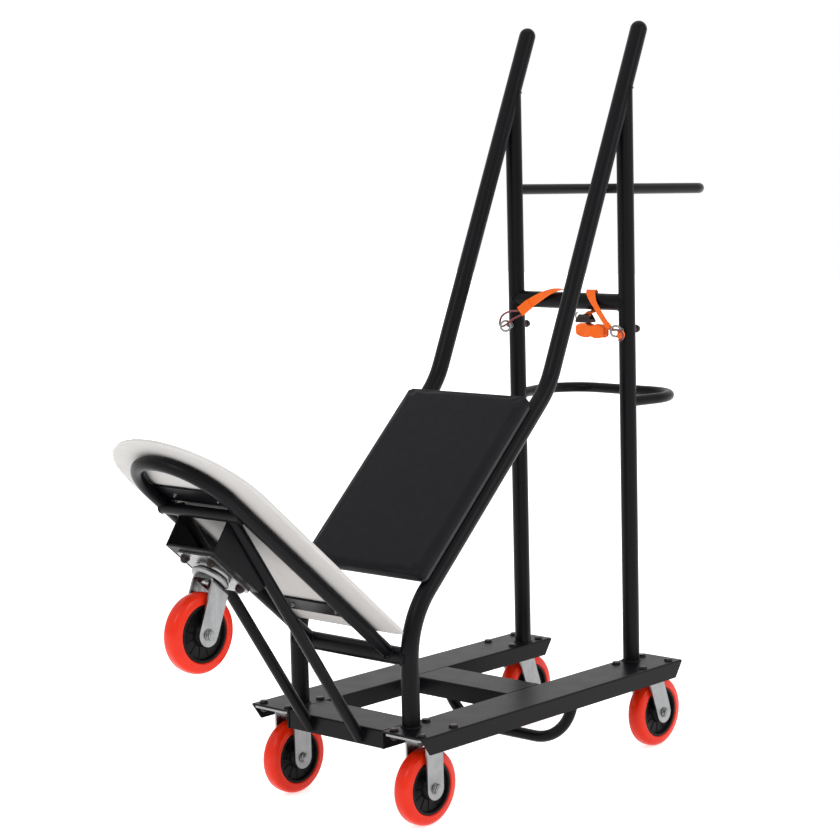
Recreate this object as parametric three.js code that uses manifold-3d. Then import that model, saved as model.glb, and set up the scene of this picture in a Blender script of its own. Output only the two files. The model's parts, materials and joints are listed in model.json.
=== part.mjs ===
// Furniture dolly with a tilted padded cradle, a padded back rest, two push handles and a lashing strap.
// Units are millimetres. +Z is up, +Y points to the rear handles, +X is the right-hand side.
// The model is laid out from the front axle on the ground; the outer group moves the whole object so that
// its origin is the centre of its footprint on the ground.
import * as THREE from 'three';
import { mergeVertices } from 'three/addons/utils/BufferGeometryUtils.js';
import Module from 'manifold-3d';

const wasm = await Module();
wasm.setup();

// ---- driving dimensions ----------------------------------------------------------------------------

const GAP = 0.3;
const ORIGIN_Y = 205.33;

const TRACK_HALF = 152;
const WHEEL_RADIUS = 63.5;
const WHEEL_HALF_WIDTH = 16;
const CASTER_HEIGHT = 156;
const SWIVEL_TRAIL = 33;

const CHANNEL_WIDTH = 89;
const CHANNEL_HEIGHT = 30;
const CHANNEL_WALL = 3;
const DECK_TOP = CASTER_HEIGHT + CHANNEL_WALL;
const RAIL_FRONT = -52;
const RAIL_REAR = 643;
const RAIL_CHAMFER = 20;
const RAIL_INNER = TRACK_HALF - CHANNEL_WIDTH / 2;
const FRONT_CHANNEL_Y = RAIL_FRONT + 1.5;
const REAR_CHANNEL_Y = 258;

const TUBE_RADIUS = 15;
const TUBE_WALL = 2;
const SMALL_TUBE_RADIUS = 9.5;
const SMALL_TUBE_WALL = 1.6;
const HOOP_TUBE_RADIUS = 11.2;

const FRAME_HALF = 127.6;
const UPRIGHT_Y = 583.2;
const SIDE_TUBE_Y = -3;
const LOWER_BEND = [358.2, 676];
const SIDE_TUBE_TOP = [627.5, 1286.5];
const PAD_SLOPE = THREE.MathUtils.degToRad(43.5);
const SIDE_BEND_RADIUS = 152;
const CROSSBAR_Z = 807;
const FRONT_TUBE = [SIDE_TUBE_Y - 1, 273];
const EYE_Z = 758.6;
const EYE_Y = 550;

const CRADLE_TILT = THREE.MathUtils.degToRad(41.1);
const CRADLE_ORIGIN = [-15, 280.5];
const HOOP_HALF = 90.4;
const HOOP_APEX = -530;
const CRADLE_TUBE = [-405, -6.3];
const CRADLE_BAR_Y = [-103.5, -427];
const CRADLE_BOLT_X = 50;
const CRADLE_PAD_HALF = 152;
const CRADLE_PAD_DEPTH = 132;
const CRADLE_PAD_REAR = -42;
const CRADLE_PAD_FRONT = -568.5;
const CRADLE_BOARD_THICKNESS = 3.2;
const CRADLE_PAD_THICKNESS = 5.5;
const MOUNT_Y = -327.6;
const MOUNT_Z = -63.4;
const MOUNT_PLATE_ENDS = [-391, -275];
const MOUNT_THICKNESS = 4;
const GUSSET_INNER = 53;
const GUSSET_THICKNESS = 3;
const STRUT_X = 57.1;
const STRUT_END_Z = 134;
const STRUT_FOOT = [-51, 139];
const STRUT_HEAD = [-317.4, 540.5];

const BACK_PAD_HALF = 136.5;
const BACK_PAD_LOW = -61.5;
const BACK_PAD_HIGH = 322.5;
const BACK_BAR_Y = [20, 230];
const BACK_BOLT_X = 60;
const BACK_BOARD_THICKNESS = 8;
const BACK_PAD_DEPTH = 24;
const FLAT_BAR_WIDTH = 38;
const FLAT_BAR_THICKNESS = 4;

const PLATE_HALF_X = 40;
const PLATE_HALF_Y = 52.5;
const PLATE_THICKNESS = 3.5;
const BOLT_X = 30;
const BOLT_Y = 38;
const BOLT_RADIUS = 4.6;
const AXLE_RADIUS = 6;
const FORK_INNER = 20.3;
const FORK_THICKNESS = 3.5;
const LEG_HALF_WIDTH = 19;
const HUB_RADIUS = 45;

const WEB_WIDTH = 20;
const WEB_THICKNESS = 1.6;

// ---- materials -------------------------------------------------------------------------------------

const finish = (color, roughness, metalness) => () => new THREE.MeshStandardMaterial({
  color, roughness, metalness,
});
const powderCoat = finish(0x17171a, 0.42, 0.25);
const zinc = finish(0xb9bcc0, 0.3, 0.95);
const redTread = finish(0xee2a1c, 0.28, 0);
const hubCore = finish(0x131416, 0.5, 0);
const blackVinyl = finish(0x1d1e22, 0.5, 0);
const whiteVinyl = finish(0xd9d7d3, 0.55, 0);
const board = finish(0xc8c6c2, 0.7, 0);
const blackBoard = finish(0x202124, 0.7, 0);
const orangeWeb = finish(0xf26a12, 0.75, 0);
const redDip = finish(0x7d1716, 0.4, 0);
const darkSteel = finish(0x4a4644, 0.4, 0.8);

// ---- solids ----------------------------------------------------------------------------------------

// Merges shared corners, drops collapsed triangles and turns the faces outwards.
function weld(source) {
  const geometry = source.clone();
  geometry.deleteAttribute('normal');
  geometry.deleteAttribute('uv');
  const merged = mergeVertices(geometry, 1e-4);
  const position = merged.getAttribute('position');
  const corners = [];
  let volume = 0;
  const a = new THREE.Vector3();
  const b = new THREE.Vector3();
  const c = new THREE.Vector3();
  for (let i = 0; i < merged.index.count; i += 3) {
    const [p, q, r] = [0, 1, 2].map((k) => merged.index.getX(i + k));
    if (p === q || q === r || r === p) continue;
    corners.push(p, q, r);
    a.fromBufferAttribute(position, p);
    b.fromBufferAttribute(position, q);
    c.fromBufferAttribute(position, r);
    volume += a.dot(b.cross(c));
  }
  if (volume < 0) corners.reverse();
  return {
    vertProperties: new Float32Array(position.array),
    triVerts: new Uint32Array(corners),
  };
}

const solid = (geometry) => new wasm.Manifold(new wasm.Mesh({ numProp: 3, ...weld(geometry) }));

function geometryOf(manifold) {
  const mesh = manifold.getMesh();
  const geometry = new THREE.BufferGeometry();
  const vertices = new Float32Array(mesh.vertProperties);
  geometry.setAttribute('position', new THREE.BufferAttribute(vertices, 3));
  geometry.setIndex(new THREE.BufferAttribute(new Uint32Array(mesh.triVerts), 1));
  geometry.computeVertexNormals();
  return geometry;
}

const join = (...parts) => parts.reduce((whole, part) => whole.add(part));
const cut = (whole, ...tools) => tools.reduce((rest, tool) => rest.subtract(tool), whole);
const vec = (x, y, z) => new THREE.Vector3(x, y, z);

function place(parent, name, manifold, material) {
  const mesh = new THREE.Mesh(geometryOf(manifold), material());
  mesh.name = name;
  parent.add(mesh);
  return mesh;
}

function box(x0, x1, y0, y1, z0, z1) {
  const geometry = new THREE.BoxGeometry(x1 - x0, y1 - y0, z1 - z0);
  geometry.translate((x0 + x1) / 2, (y0 + y1) / 2, (z0 + z1) / 2);
  return solid(geometry);
}

// A round bar between two points; six sides make a hexagon head or nut.
function rod(from, to, radius, sides = 8) {
  const axis = to.clone().sub(from);
  const geometry = new THREE.CylinderGeometry(radius, radius, axis.length(), sides);
  geometry.applyQuaternion(new THREE.Quaternion().setFromUnitVectors(unitY, axis.normalize()));
  const middle = from.clone().add(to).multiplyScalar(0.5);
  geometry.translate(middle.x, middle.y, middle.z);
  return solid(geometry);
}

function extrude(shape, depth, basis, offset) {
  const geometry = new THREE.ExtrudeGeometry(shape, { depth, bevelEnabled: false, curveSegments: 8 });
  geometry.applyMatrix4(new THREE.Matrix4().makeBasis(...basis));
  geometry.translate(offset.x, offset.y, offset.z);
  return solid(geometry);
}

// Prisms whose outline lies in the plane across X, Y or Z.
const unitX = vec(1, 0, 0);
const unitY = vec(0, 1, 0);
const unitZ = vec(0, 0, 1);
const alongX = (shape, x0, x1) => extrude(shape, x1 - x0, [unitY, unitZ, unitX], vec(x0, 0, 0));
const alongY = (shape, y0, y1) => extrude(shape, y1 - y0, [unitX, unitZ, vec(0, -1, 0)], vec(0, y1, 0));
const alongZ = (shape, z0, z1) => extrude(shape, z1 - z0, [unitX, unitY, unitZ], vec(0, 0, z0));

const outline = (points) => new THREE.Shape(points.map(([x, y]) => new THREE.Vector2(x, y)));

function circlePoints(radius, sides) {
  const points = [];
  for (let i = 0; i < sides; i += 1) {
    const angle = ((i + 0.5) / sides) * 2 * Math.PI;
    points.push(new THREE.Vector2(radius * Math.cos(angle), radius * Math.sin(angle)));
  }
  return points;
}

// A tube's centre line: straight runs joined by arcs of one bend radius, with stations only where it turns.
class BentPath extends THREE.Curve {
  constructor(corners, bendRadius, stepAngle = 0.25) {
    super();
    this.stations = [];
    const direction = (i) => corners[i + 1].clone().sub(corners[i]).normalize();
    this.addStation(corners[0], direction(0));
    for (let i = 1; i < corners.length - 1; i += 1) {
      const before = direction(i - 1);
      const after = direction(i);
      const turn = before.angleTo(after);
      const inward = after.clone().addScaledVector(before, -Math.cos(turn)).normalize();
      const start = corners[i].clone().addScaledVector(before, -bendRadius * Math.tan(turn / 2));
      const centre = start.clone().addScaledVector(inward, bendRadius);
      const steps = Math.ceil(turn / stepAngle);
      for (let k = 0; k <= steps; k += 1) {
        const angle = (turn * k) / steps;
        const point = centre.clone().addScaledVector(inward, -bendRadius * Math.cos(angle));
        point.addScaledVector(before, bendRadius * Math.sin(angle));
        const tangent = before.clone().multiplyScalar(Math.cos(angle));
        tangent.addScaledVector(inward, Math.sin(angle));
        this.addStation(point, tangent);
      }
    }
    this.addStation(corners[corners.length - 1], direction(corners.length - 2));
  }

  addStation(point, tangent) {
    const last = this.stations[this.stations.length - 1];
    if (last && last.point.distanceTo(point) < 1e-3) return;
    this.stations.push({ point, tangent });
  }

  station(u) {
    return this.stations[Math.round(u * (this.stations.length - 1))];
  }

  getPointAt(u, target = new THREE.Vector3()) {
    return target.copy(this.station(u).point);
  }

  getTangentAt(u, target = new THREE.Vector3()) {
    return target.copy(this.station(u).tangent);
  }
}

function sweep(shape, path) {
  const steps = path.stations.length - 1;
  return solid(new THREE.ExtrudeGeometry(shape, { steps, bevelEnabled: false, extrudePath: path }));
}

const bar = (corners, bendRadius, radius, sides) => sweep(
  new THREE.Shape(circlePoints(radius, sides)), new BentPath(corners, bendRadius));

function tube(corners, bendRadius, radius, wall, sides) {
  const shape = new THREE.Shape(circlePoints(radius, sides));
  shape.holes.push(new THREE.Path(circlePoints(radius - wall, 8)));
  return sweep(shape, new BentPath(corners, bendRadius));
}

// A solid of revolution about X from (x, radius) pairs.
function turned(profile, segments) {
  const closed = [...profile, profile[0]].map(([x, radius]) => new THREE.Vector2(radius, x));
  const geometry = new THREE.LatheGeometry(closed, segments);
  geometry.rotateZ(-Math.PI / 2);
  return solid(geometry);
}

// An arc of (x, y) points, used for rounded corners in outlines.
function arc(cx, cy, radius, from, to, steps) {
  const points = [];
  for (let i = 0; i <= steps; i += 1) {
    const angle = THREE.MathUtils.degToRad(from + ((to - from) * i) / steps);
    points.push([cx + radius * Math.cos(angle), cy + radius * Math.sin(angle)]);
  }
  return points;
}

const roundedRectangle = (hx, hy, radius, steps = 3) => outline([
  ...arc(hx - radius, hy - radius, radius, 0, 90, steps),
  ...arc(radius - hx, hy - radius, radius, 90, 180, steps),
  ...arc(radius - hx, radius - hy, radius, 180, 270, steps),
  ...arc(hx - radius, radius - hy, radius, 270, 360, steps),
]);

// ---- outer group and frame body --------------------------------------------------------------------

const dolly = new THREE.Group();
const layout = new THREE.Group();
layout.position.y = -ORIGIN_Y;
dolly.add(layout);

// Inverted U-section, open below, with its outer corners rounded off.
function channelOutline(low, high) {
  const round = 2.4;
  const bottom = DECK_TOP - CHANNEL_HEIGHT;
  const inside = DECK_TOP - CHANNEL_WALL;
  return outline([
    [low, bottom], [low + CHANNEL_WALL, bottom], [low + CHANNEL_WALL, inside],
    [high - CHANNEL_WALL, inside], [high - CHANNEL_WALL, bottom], [high, bottom],
    [high, DECK_TOP - round], [high - round * 0.3, DECK_TOP - round * 0.3], [high - round, DECK_TOP],
    [low + round, DECK_TOP], [low + round * 0.3, DECK_TOP - round * 0.3], [low, DECK_TOP - round],
  ]);
}

// The four holes of a caster's bolt pattern through a horizontal web.
function boltHoles(x, y, z0, z1) {
  const holes = [];
  for (const dx of [-BOLT_X, BOLT_X]) {
    for (const dy of [-BOLT_Y, BOLT_Y]) {
      holes.push(rod(vec(x + dx, y + dy, z0), vec(x + dx, y + dy, z1), BOLT_RADIUS + 0.6));
    }
  }
  return holes;
}

const sides = [['left', -1], ['right', 1]];
const chamferTop = DECK_TOP - CHANNEL_WALL;
const chamferLow = DECK_TOP - CHANNEL_HEIGHT - 1;

function flangeChamfer(end, direction, low, high) {
  return alongX(outline([
    [end - direction * 5, chamferTop], [end, chamferTop], [end + direction * RAIL_CHAMFER, chamferLow],
    [end - direction * 5, chamferLow],
  ]), low, high);
}

for (const [side, sign] of sides) {
  const x = sign * TRACK_HALF;
  const outerHalf = [x, x + sign * CHANNEL_WIDTH].sort((a, b) => a - b);
  const blank = alongY(channelOutline(x - CHANNEL_WIDTH / 2, x + CHANNEL_WIDTH / 2), RAIL_FRONT, RAIL_REAR);
  const rail = cut(
    blank,
    flangeChamfer(RAIL_FRONT, 1, ...outerHalf),
    flangeChamfer(RAIL_REAR, -1, -250, 250),
    ...boltHoles(x, 0, CASTER_HEIGHT - 1, DECK_TOP + 1),
    ...boltHoles(x, UPRIGHT_Y, CASTER_HEIGHT - 1, DECK_TOP + 1),
  );
  place(layout, `rail_${side}`, rail, powderCoat);
}

const channelReach = RAIL_INNER - GAP;
for (const [name, y] of [['front', FRONT_CHANNEL_Y], ['rear', REAR_CHANNEL_Y]]) {
  const channel = alongX(channelOutline(y, y + CHANNEL_WIDTH), -channelReach, channelReach);
  place(layout, `cross_channel_${name}`, channel, powderCoat);
}

// ---- side tubes, uprights and crossbars ------------------------------------------------------------

// The lower incline leaves the vertical foot where the two centre lines meet.
const footBend = [SIDE_TUBE_Y, LOWER_BEND[1] - (LOWER_BEND[0] - SIDE_TUBE_Y) * Math.tan(PAD_SLOPE)];
const sideCorners = (x) => [
  vec(x, SIDE_TUBE_Y, DECK_TOP + GAP),
  vec(x, ...footBend),
  vec(x, ...LOWER_BEND),
  vec(x, ...SIDE_TUBE_TOP),
];
const sideCutter = (x) => bar(sideCorners(x), SIDE_BEND_RADIUS, TUBE_RADIUS + GAP, 16);
const uprightCutter = (x) => rod(
  vec(x, UPRIGHT_Y, DECK_TOP), vec(x, UPRIGHT_Y, 1200), TUBE_RADIUS + GAP, 16);
const aboveSideTubes = alongX(
  outline([LOWER_BEND, SIDE_TUBE_TOP, [LOWER_BEND[0], SIDE_TUBE_TOP[1]]]), -200, 200);

// The top end is closed to a dome, so the bore stops short of it.
function sideTube(x) {
  const top = vec(x, ...SIDE_TUBE_TOP);
  const dome = new THREE.SphereGeometry(TUBE_RADIUS, 16, 6);
  dome.translate(top.x, top.y, top.z);
  const outer = join(bar(sideCorners(x), SIDE_BEND_RADIUS, TUBE_RADIUS, 16), solid(dome));
  const corners = sideCorners(x);
  corners[0].z -= 1;
  corners[3].addScaledVector(corners[3].clone().sub(corners[2]).normalize(), -4);
  return cut(outer, bar(corners, SIDE_BEND_RADIUS, TUBE_RADIUS - TUBE_WALL, 8));
}

for (const [side, sign] of sides) {
  const x = sign * FRAME_HALF;
  place(layout, `side_tube_${side}`, sideTube(x), powderCoat);

  const upright = tube(
    [vec(x, UPRIGHT_Y, DECK_TOP + GAP), vec(x, UPRIGHT_Y, 1195)], 0, TUBE_RADIUS, TUBE_WALL, 16);
  const eyeHole = rod(vec(x, UPRIGHT_Y - 20, EYE_Z), vec(x, UPRIGHT_Y + 20, EYE_Z), 3.9);
  place(layout, `upright_${side}`, cut(upright, sideCutter(x), aboveSideTubes, eyeHole), powderCoat);
}

// A tube that spans the frame between its two sides, notched around the tubes it meets.
function crossTube(y, z, cutterAt) {
  const ends = [vec(-FRAME_HALF, y, z), vec(FRAME_HALF, y, z)];
  const blank = tube(ends, 0, TUBE_RADIUS, TUBE_WALL, 16);
  return cut(blank, cutterAt(-FRAME_HALF), cutterAt(FRAME_HALF));
}
place(layout, 'crossbar_mid', crossTube(UPRIGHT_Y, CROSSBAR_Z, uprightCutter), powderCoat);
place(layout, 'cross_tube_front', crossTube(...FRONT_TUBE, sideCutter), powderCoat);

// ---- handle and foot loops -------------------------------------------------------------------------

const loop = (corners, bendRadius, radius) => tube(corners, bendRadius, radius, SMALL_TUBE_WALL, 12);
const trimmed = (manifold) => cut(manifold, uprightCutter(-FRAME_HALF), uprightCutter(FRAME_HALF));

const upperLoop = loop([
  vec(-FRAME_HALF, UPRIGHT_Y + 5, 1008), vec(-FRAME_HALF, 835, 1002),
  vec(FRAME_HALF, 835, 1002), vec(FRAME_HALF, UPRIGHT_Y + 5, 1008),
], 45, SMALL_TUBE_RADIUS);
place(layout, 'handle_loop_upper', trimmed(upperLoop), powderCoat);

const lowerLoop = loop([
  vec(-FRAME_HALF, UPRIGHT_Y + 5, 630), vec(-157, 740, 630),
  vec(157, 740, 630), vec(FRAME_HALF, UPRIGHT_Y + 5, 630),
], 78, SMALL_TUBE_RADIUS);
place(layout, 'handle_loop_lower', trimmed(lowerLoop), powderCoat);

const footLoop = loop([
  vec(-149, 387, CASTER_HEIGHT - GAP), vec(-149, 387, 50),
  vec(149, 387, 50), vec(149, 387, CASTER_HEIGHT - GAP),
], 88, 10);
place(layout, 'foot_loop', footLoop, powderCoat);

// ---- cradle: a tilted group whose local y runs down the slope and z is its normal ------------------

const cradle = new THREE.Group();
cradle.position.set(0, ...CRADLE_ORIGIN);
cradle.rotation.x = -CRADLE_TILT;
layout.add(cradle);

const hoopCorners = [
  vec(-HOOP_HALF, -2, 0), vec(-HOOP_HALF, HOOP_APEX, 0), vec(HOOP_HALF, HOOP_APEX, 0), vec(HOOP_HALF, -2, 0),
];
const inLayout = (x, y, z) => vec(x, y, z).applyEuler(cradle.rotation).add(cradle.position);
const inCradle = (x, y, z) => vec(x, y, z).sub(cradle.position).applyAxisAngle(vec(1, 0, 0), CRADLE_TILT);
const frontTubeInCradle = rod(
  inCradle(-200, ...FRONT_TUBE), inCradle(200, ...FRONT_TUBE), TUBE_RADIUS + GAP, 16);
const hoop = tube(hoopCorners, HOOP_HALF, HOOP_TUBE_RADIUS, TUBE_WALL, 12);
place(cradle, 'cradle_hoop', cut(hoop, frontTubeInCradle), powderCoat);
const hoopCutter = bar(hoopCorners, HOOP_HALF, HOOP_TUBE_RADIUS + GAP, 12);

const cradleTubeEnds = [-1, 1].map((sign) => vec(sign * HOOP_HALF, ...CRADLE_TUBE));
const cradleTube = tube(cradleTubeEnds, 0, SMALL_TUBE_RADIUS, SMALL_TUBE_WALL, 12);
place(cradle, 'cradle_cross_tube', cut(cradleTube, hoopCutter), powderCoat);

// A flat bar under a pad, with two bolt holes.
function flatBar(halfLength, y, top, boltX, cutters) {
  const low = top - FLAT_BAR_THICKNESS;
  const blank = box(-halfLength, halfLength, y - FLAT_BAR_WIDTH / 2, y + FLAT_BAR_WIDTH / 2, low, top);
  const holes = [-boltX, boltX].map((x) => rod(vec(x, y, low - 1), vec(x, y, top + 1), 3.6));
  return cut(blank, ...cutters, ...holes);
}

// A board with a screw and nut at each bar, made as one fastened piece.
function boltedBoard(shape, z0, z1, boltX, boltYs) {
  const bolts = [];
  for (const y of boltYs) {
    for (const x of [-boltX, boltX]) {
      const low = z0 - FLAT_BAR_THICKNESS - 2 * GAP;
      bolts.push(rod(vec(x, y, low - 8), vec(x, y, z0 + 1), 3, 6));
      bolts.push(rod(vec(x, y, low - 5), vec(x, y, low), 5.8, 6));
    }
  }
  return join(alongZ(shape, z0, z1), ...bolts);
}

const cradleBarTop = HOOP_TUBE_RADIUS - 0.2;
CRADLE_BAR_Y.forEach((y, i) => {
  const name = `cradle_bar_${['lower', 'upper'][i]}`;
  place(cradle, name, flatBar(HOOP_HALF, y, cradleBarTop, CRADLE_BOLT_X, [hoopCutter]), powderCoat);
});

// Tombstone outline: square at the rear, half an ellipse at the front.
function tombstone(inset) {
  const half = CRADLE_PAD_HALF - inset;
  const rear = CRADLE_PAD_REAR - inset;
  const centre = CRADLE_PAD_FRONT + CRADLE_PAD_DEPTH;
  const depth = CRADLE_PAD_DEPTH - inset;
  const corner = 14;
  return outline([
    ...arc(0, 0, 1, 180, 360, 20).map(([x, y]) => [x * half, centre + y * depth]),
    ...arc(half - corner, rear - corner, corner, 0, 90, 3),
    ...arc(corner - half, rear - corner, corner, 90, 180, 3),
  ]);
}

const cradleBoardLow = HOOP_TUBE_RADIUS + GAP;
const cradleBoardTop = cradleBoardLow + CRADLE_BOARD_THICKNESS;
place(cradle, 'cradle_board', boltedBoard(
  tombstone(3), cradleBoardLow, cradleBoardTop, CRADLE_BOLT_X, CRADLE_BAR_Y), board);
place(cradle, 'cradle_cushion', alongZ(
  tombstone(0), cradleBoardTop + GAP, cradleBoardTop + GAP + CRADLE_PAD_THICKNESS), whiteVinyl);

// ---- caster bracket under the cradle and its struts ------------------------------------------------

const mountPlate = cut(
  box(-GUSSET_INNER + GAP, GUSSET_INNER - GAP, ...MOUNT_PLATE_ENDS, MOUNT_Z, MOUNT_Z + MOUNT_THICKNESS),
  ...boltHoles(0, MOUNT_Y, MOUNT_Z - 1, MOUNT_Z + MOUNT_THICKNESS + 1),
);
place(cradle, 'cradle_mount_plate', mountPlate, powderCoat);

// The struts stand off the front channel and end on the cradle's cross tube. Each gusset stands beside the
// mount plate, reaches up to the cross tube and fills the corner in front of its strut.
const [crossTubeLow, crossTubeHigh] = [-1, 1].map((sign) => inLayout(sign * HOOP_HALF, ...CRADLE_TUBE));
const crossTubeCutter = rod(crossTubeLow, crossTubeHigh, SMALL_TUBE_RADIUS + 2 * GAP, 12);
const strutFootCutter = join(
  box(-100, 100, FRONT_CHANNEL_Y - GAP, 40, 90, 190),
  box(-100, 100, -120, 40, 90, STRUT_END_Z),
);
const strutHead = inCradle(0, ...STRUT_HEAD);
const gussetPoints = [
  [MOUNT_PLATE_ENDS[0], MOUNT_Z], [MOUNT_PLATE_ENDS[1], MOUNT_Z], [MOUNT_PLATE_ENDS[1] + 7, MOUNT_Z + 16],
  [MOUNT_PLATE_ENDS[1] + 9, MOUNT_Z + 24], [strutHead.y, strutHead.z], [CRADLE_TUBE[0] + 8, -14],
];
const gussetOutline = outline(gussetPoints.map(([y, z]) => {
  const point = inLayout(0, y, z);
  return [point.y, point.z];
}));
for (const [side, sign] of sides) {
  const foot = vec(sign * STRUT_X, ...STRUT_FOOT);
  const head = vec(sign * STRUT_X, ...STRUT_HEAD);
  const run = head.clone().sub(foot).normalize();
  const start = foot.clone().addScaledVector(run, -30);
  const strut = tube([start, head], 0, SMALL_TUBE_RADIUS, SMALL_TUBE_WALL, 12);
  place(layout, `strut_${side}`, cut(strut, strutFootCutter, crossTubeCutter), powderCoat);

  const x = [sign * GUSSET_INNER, sign * (GUSSET_INNER + GUSSET_THICKNESS)].sort((a, b) => a - b);
  const strutCutter = rod(start, head.clone().addScaledVector(run, 20), SMALL_TUBE_RADIUS + 2 * GAP, 12);
  const gusset = cut(alongX(gussetOutline, ...x), strutCutter, crossTubeCutter);
  place(layout, `gusset_${side}`, gusset, powderCoat);
}

// ---- back rest: a tilted group whose local y runs up the slope and z is its normal -----------------

const back = new THREE.Group();
back.position.set(0, 87.5, 676 - (LOWER_BEND[0] - 87.5) * Math.tan(PAD_SLOPE));
back.rotation.x = PAD_SLOPE;
layout.add(back);

const runsInBack = sides.map(([, sign]) => rod(
  vec(sign * FRAME_HALF, -80, 0), vec(sign * FRAME_HALF, 360, 0), TUBE_RADIUS + GAP, 24));
BACK_BAR_Y.forEach((y, i) => {
  const name = `back_bar_${['lower', 'upper'][i]}`;
  place(back, name, flatBar(120, y, TUBE_RADIUS - 0.2, BACK_BOLT_X, runsInBack), powderCoat);
});

const backCentre = (BACK_PAD_LOW + BACK_PAD_HIGH) / 2;
const backHalf = (BACK_PAD_HIGH - BACK_PAD_LOW) / 2;
const backRest = new THREE.Group();
backRest.position.y = backCentre;
back.add(backRest);
const backBoardLow = TUBE_RADIUS + GAP;
const backBolts = BACK_BAR_Y.map((y) => y - backCentre);
const backBoardTop = backBoardLow + BACK_BOARD_THICKNESS;
const boardShape = roundedRectangle(BACK_PAD_HALF - 3, backHalf - 3, 10);
place(backRest, 'back_board', boltedBoard(
  boardShape, backBoardLow, backBoardTop, BACK_BOLT_X, backBolts), blackBoard);
place(backRest, 'back_cushion', alongZ(
  roundedRectangle(BACK_PAD_HALF, backHalf, 12), backBoardTop + GAP, backBoardLow + BACK_PAD_DEPTH), blackVinyl);

// ---- casters: local z = 0 is the face they bolt to, the wheel hangs below --------------------------

const axleZ = WHEEL_RADIUS - CASTER_HEIGHT;
const forkOuter = FORK_INNER + FORK_THICKNESS;

function plateWithBolts(grip) {
  const parts = [alongZ(roundedRectangle(PLATE_HALF_X, PLATE_HALF_Y, 8), -GAP - PLATE_THICKNESS, -GAP)];
  for (const x of [-BOLT_X, BOLT_X]) {
    for (const y of [-BOLT_Y, BOLT_Y]) {
      parts.push(rod(vec(x, y, -10), vec(x, y, grip + 1), BOLT_RADIUS, 6));
      parts.push(rod(vec(x, y, -11), vec(x, y, -GAP - 1), 8.2, 6));
      parts.push(rod(vec(x, y, grip + GAP), vec(x, y, grip + 5.5), 8.2, 6));
    }
  }
  return join(...parts);
}

// One fork leg: a straight strip in the y, z plane with a round end about the axle.
function forkLeg(trail, topCentre, topZ) {
  const slope = Math.atan2(trail - topCentre, topZ - axleZ);
  const tilt = THREE.MathUtils.radToDeg(slope);
  const half = LEG_HALF_WIDTH / Math.cos(slope);
  return outline([
    [topCentre - half, topZ],
    ...arc(trail, axleZ, LEG_HALF_WIDTH, 180 + tilt, 360 + tilt, 6),
    [topCentre + half, topZ],
  ]);
}

function legs(shape) {
  const pair = [];
  for (const sign of [-1, 1]) {
    const x = [sign * FORK_INNER, sign * forkOuter].sort((a, b) => a - b);
    pair.push(alongX(shape, ...x));
  }
  return pair;
}

const axleHole = (trail) => rod(vec(-30, trail, axleZ), vec(30, trail, axleZ), AXLE_RADIUS + GAP, 12);

function rigidFork(grip) {
  const crown = box(-forkOuter, forkOuter, -LEG_HALF_WIDTH, LEG_HALF_WIDTH, -8, -GAP - 1);
  return cut(join(plateWithBolts(grip), crown, ...legs(forkLeg(0, 0, -4))), axleHole(0));
}

// The fixed half of a swivel: the plate, its upper race and the kingpin with its head.
function swivelPlate(grip) {
  const race = rod(vec(0, 0, -8.4), vec(0, 0, -1), 27, 16);
  const pin = rod(vec(0, 0, -26), vec(0, 0, -1), 7, 12);
  const head = rod(vec(0, 0, -28.5), vec(0, 0, -22.6), 11, 6);
  return join(plateWithBolts(grip), race, pin, head);
}

function swivelYoke() {
  const race = rod(vec(0, 0, -19), vec(0, 0, -9), 31, 16);
  const crown = alongZ(roundedRectangle(forkOuter, 27, 9), -22, -17.5);
  const bore = rod(vec(0, 0, -30), vec(0, 0, 0), 7.8, 12);
  const relief = rod(vec(0, 0, -16.5), vec(0, 0, -8), 22, 12);
  const whole = join(race, crown, ...legs(forkLeg(SWIVEL_TRAIL, 6.5, -18)));
  return cut(whole, bore, relief, axleHole(SWIVEL_TRAIL));
}

const shoulder = 9.5;
const tyreProfile = [
  [-WHEEL_HALF_WIDTH, HUB_RADIUS + 0.5],
  ...arc(shoulder - WHEEL_HALF_WIDTH, WHEEL_RADIUS - shoulder, shoulder, 180, 90, 2),
  ...arc(WHEEL_HALF_WIDTH - shoulder, WHEEL_RADIUS - shoulder, shoulder, 90, 0, 2),
  [WHEEL_HALF_WIDTH, HUB_RADIUS + 0.5],
];
const hubHalf = [[19.7, 6.5], [19.7, 14], [8, 17.5], [8, 37], [14.5, HUB_RADIUS]];
const hubProfile = [...hubHalf, ...hubHalf.map(([x, radius]) => [-x, radius]).reverse()];
const tyreSolid = turned(tyreProfile, 28);
const hubSolid = turned(hubProfile, 16);

function axleSolid() {
  const outer = forkOuter + GAP;
  return join(
    rod(vec(-outer - 6, 0, 0), vec(outer + 1, 0, 0), AXLE_RADIUS, 12),
    rod(vec(outer, 0, 0), vec(outer + 7, 0, 0), 9.5, 6),
    rod(vec(-outer - 6.5, 0, 0), vec(-outer, 0, 0), 9.5, 6),
  );
}

function addWheel(caster, prefix, trail) {
  const parts = [['tyre', tyreSolid, redTread], ['hub', hubSolid, hubCore], ['axle', axleSolid(), zinc]];
  for (const [name, manifold, material] of parts) {
    place(caster, `${prefix}_${name}`, manifold, material).position.set(0, trail, axleZ);
  }
}

function addCaster(parent, prefix, position, grip, swivels) {
  const caster = new THREE.Group();
  caster.position.set(...position);
  parent.add(caster);
  if (swivels) {
    place(caster, `${prefix}_plate`, swivelPlate(grip), zinc);
    place(caster, `${prefix}_yoke`, swivelYoke(), zinc);
    addWheel(caster, prefix, SWIVEL_TRAIL);
  } else {
    place(caster, `${prefix}_fork`, rigidFork(grip), zinc);
    addWheel(caster, prefix, 0);
  }
}

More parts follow.
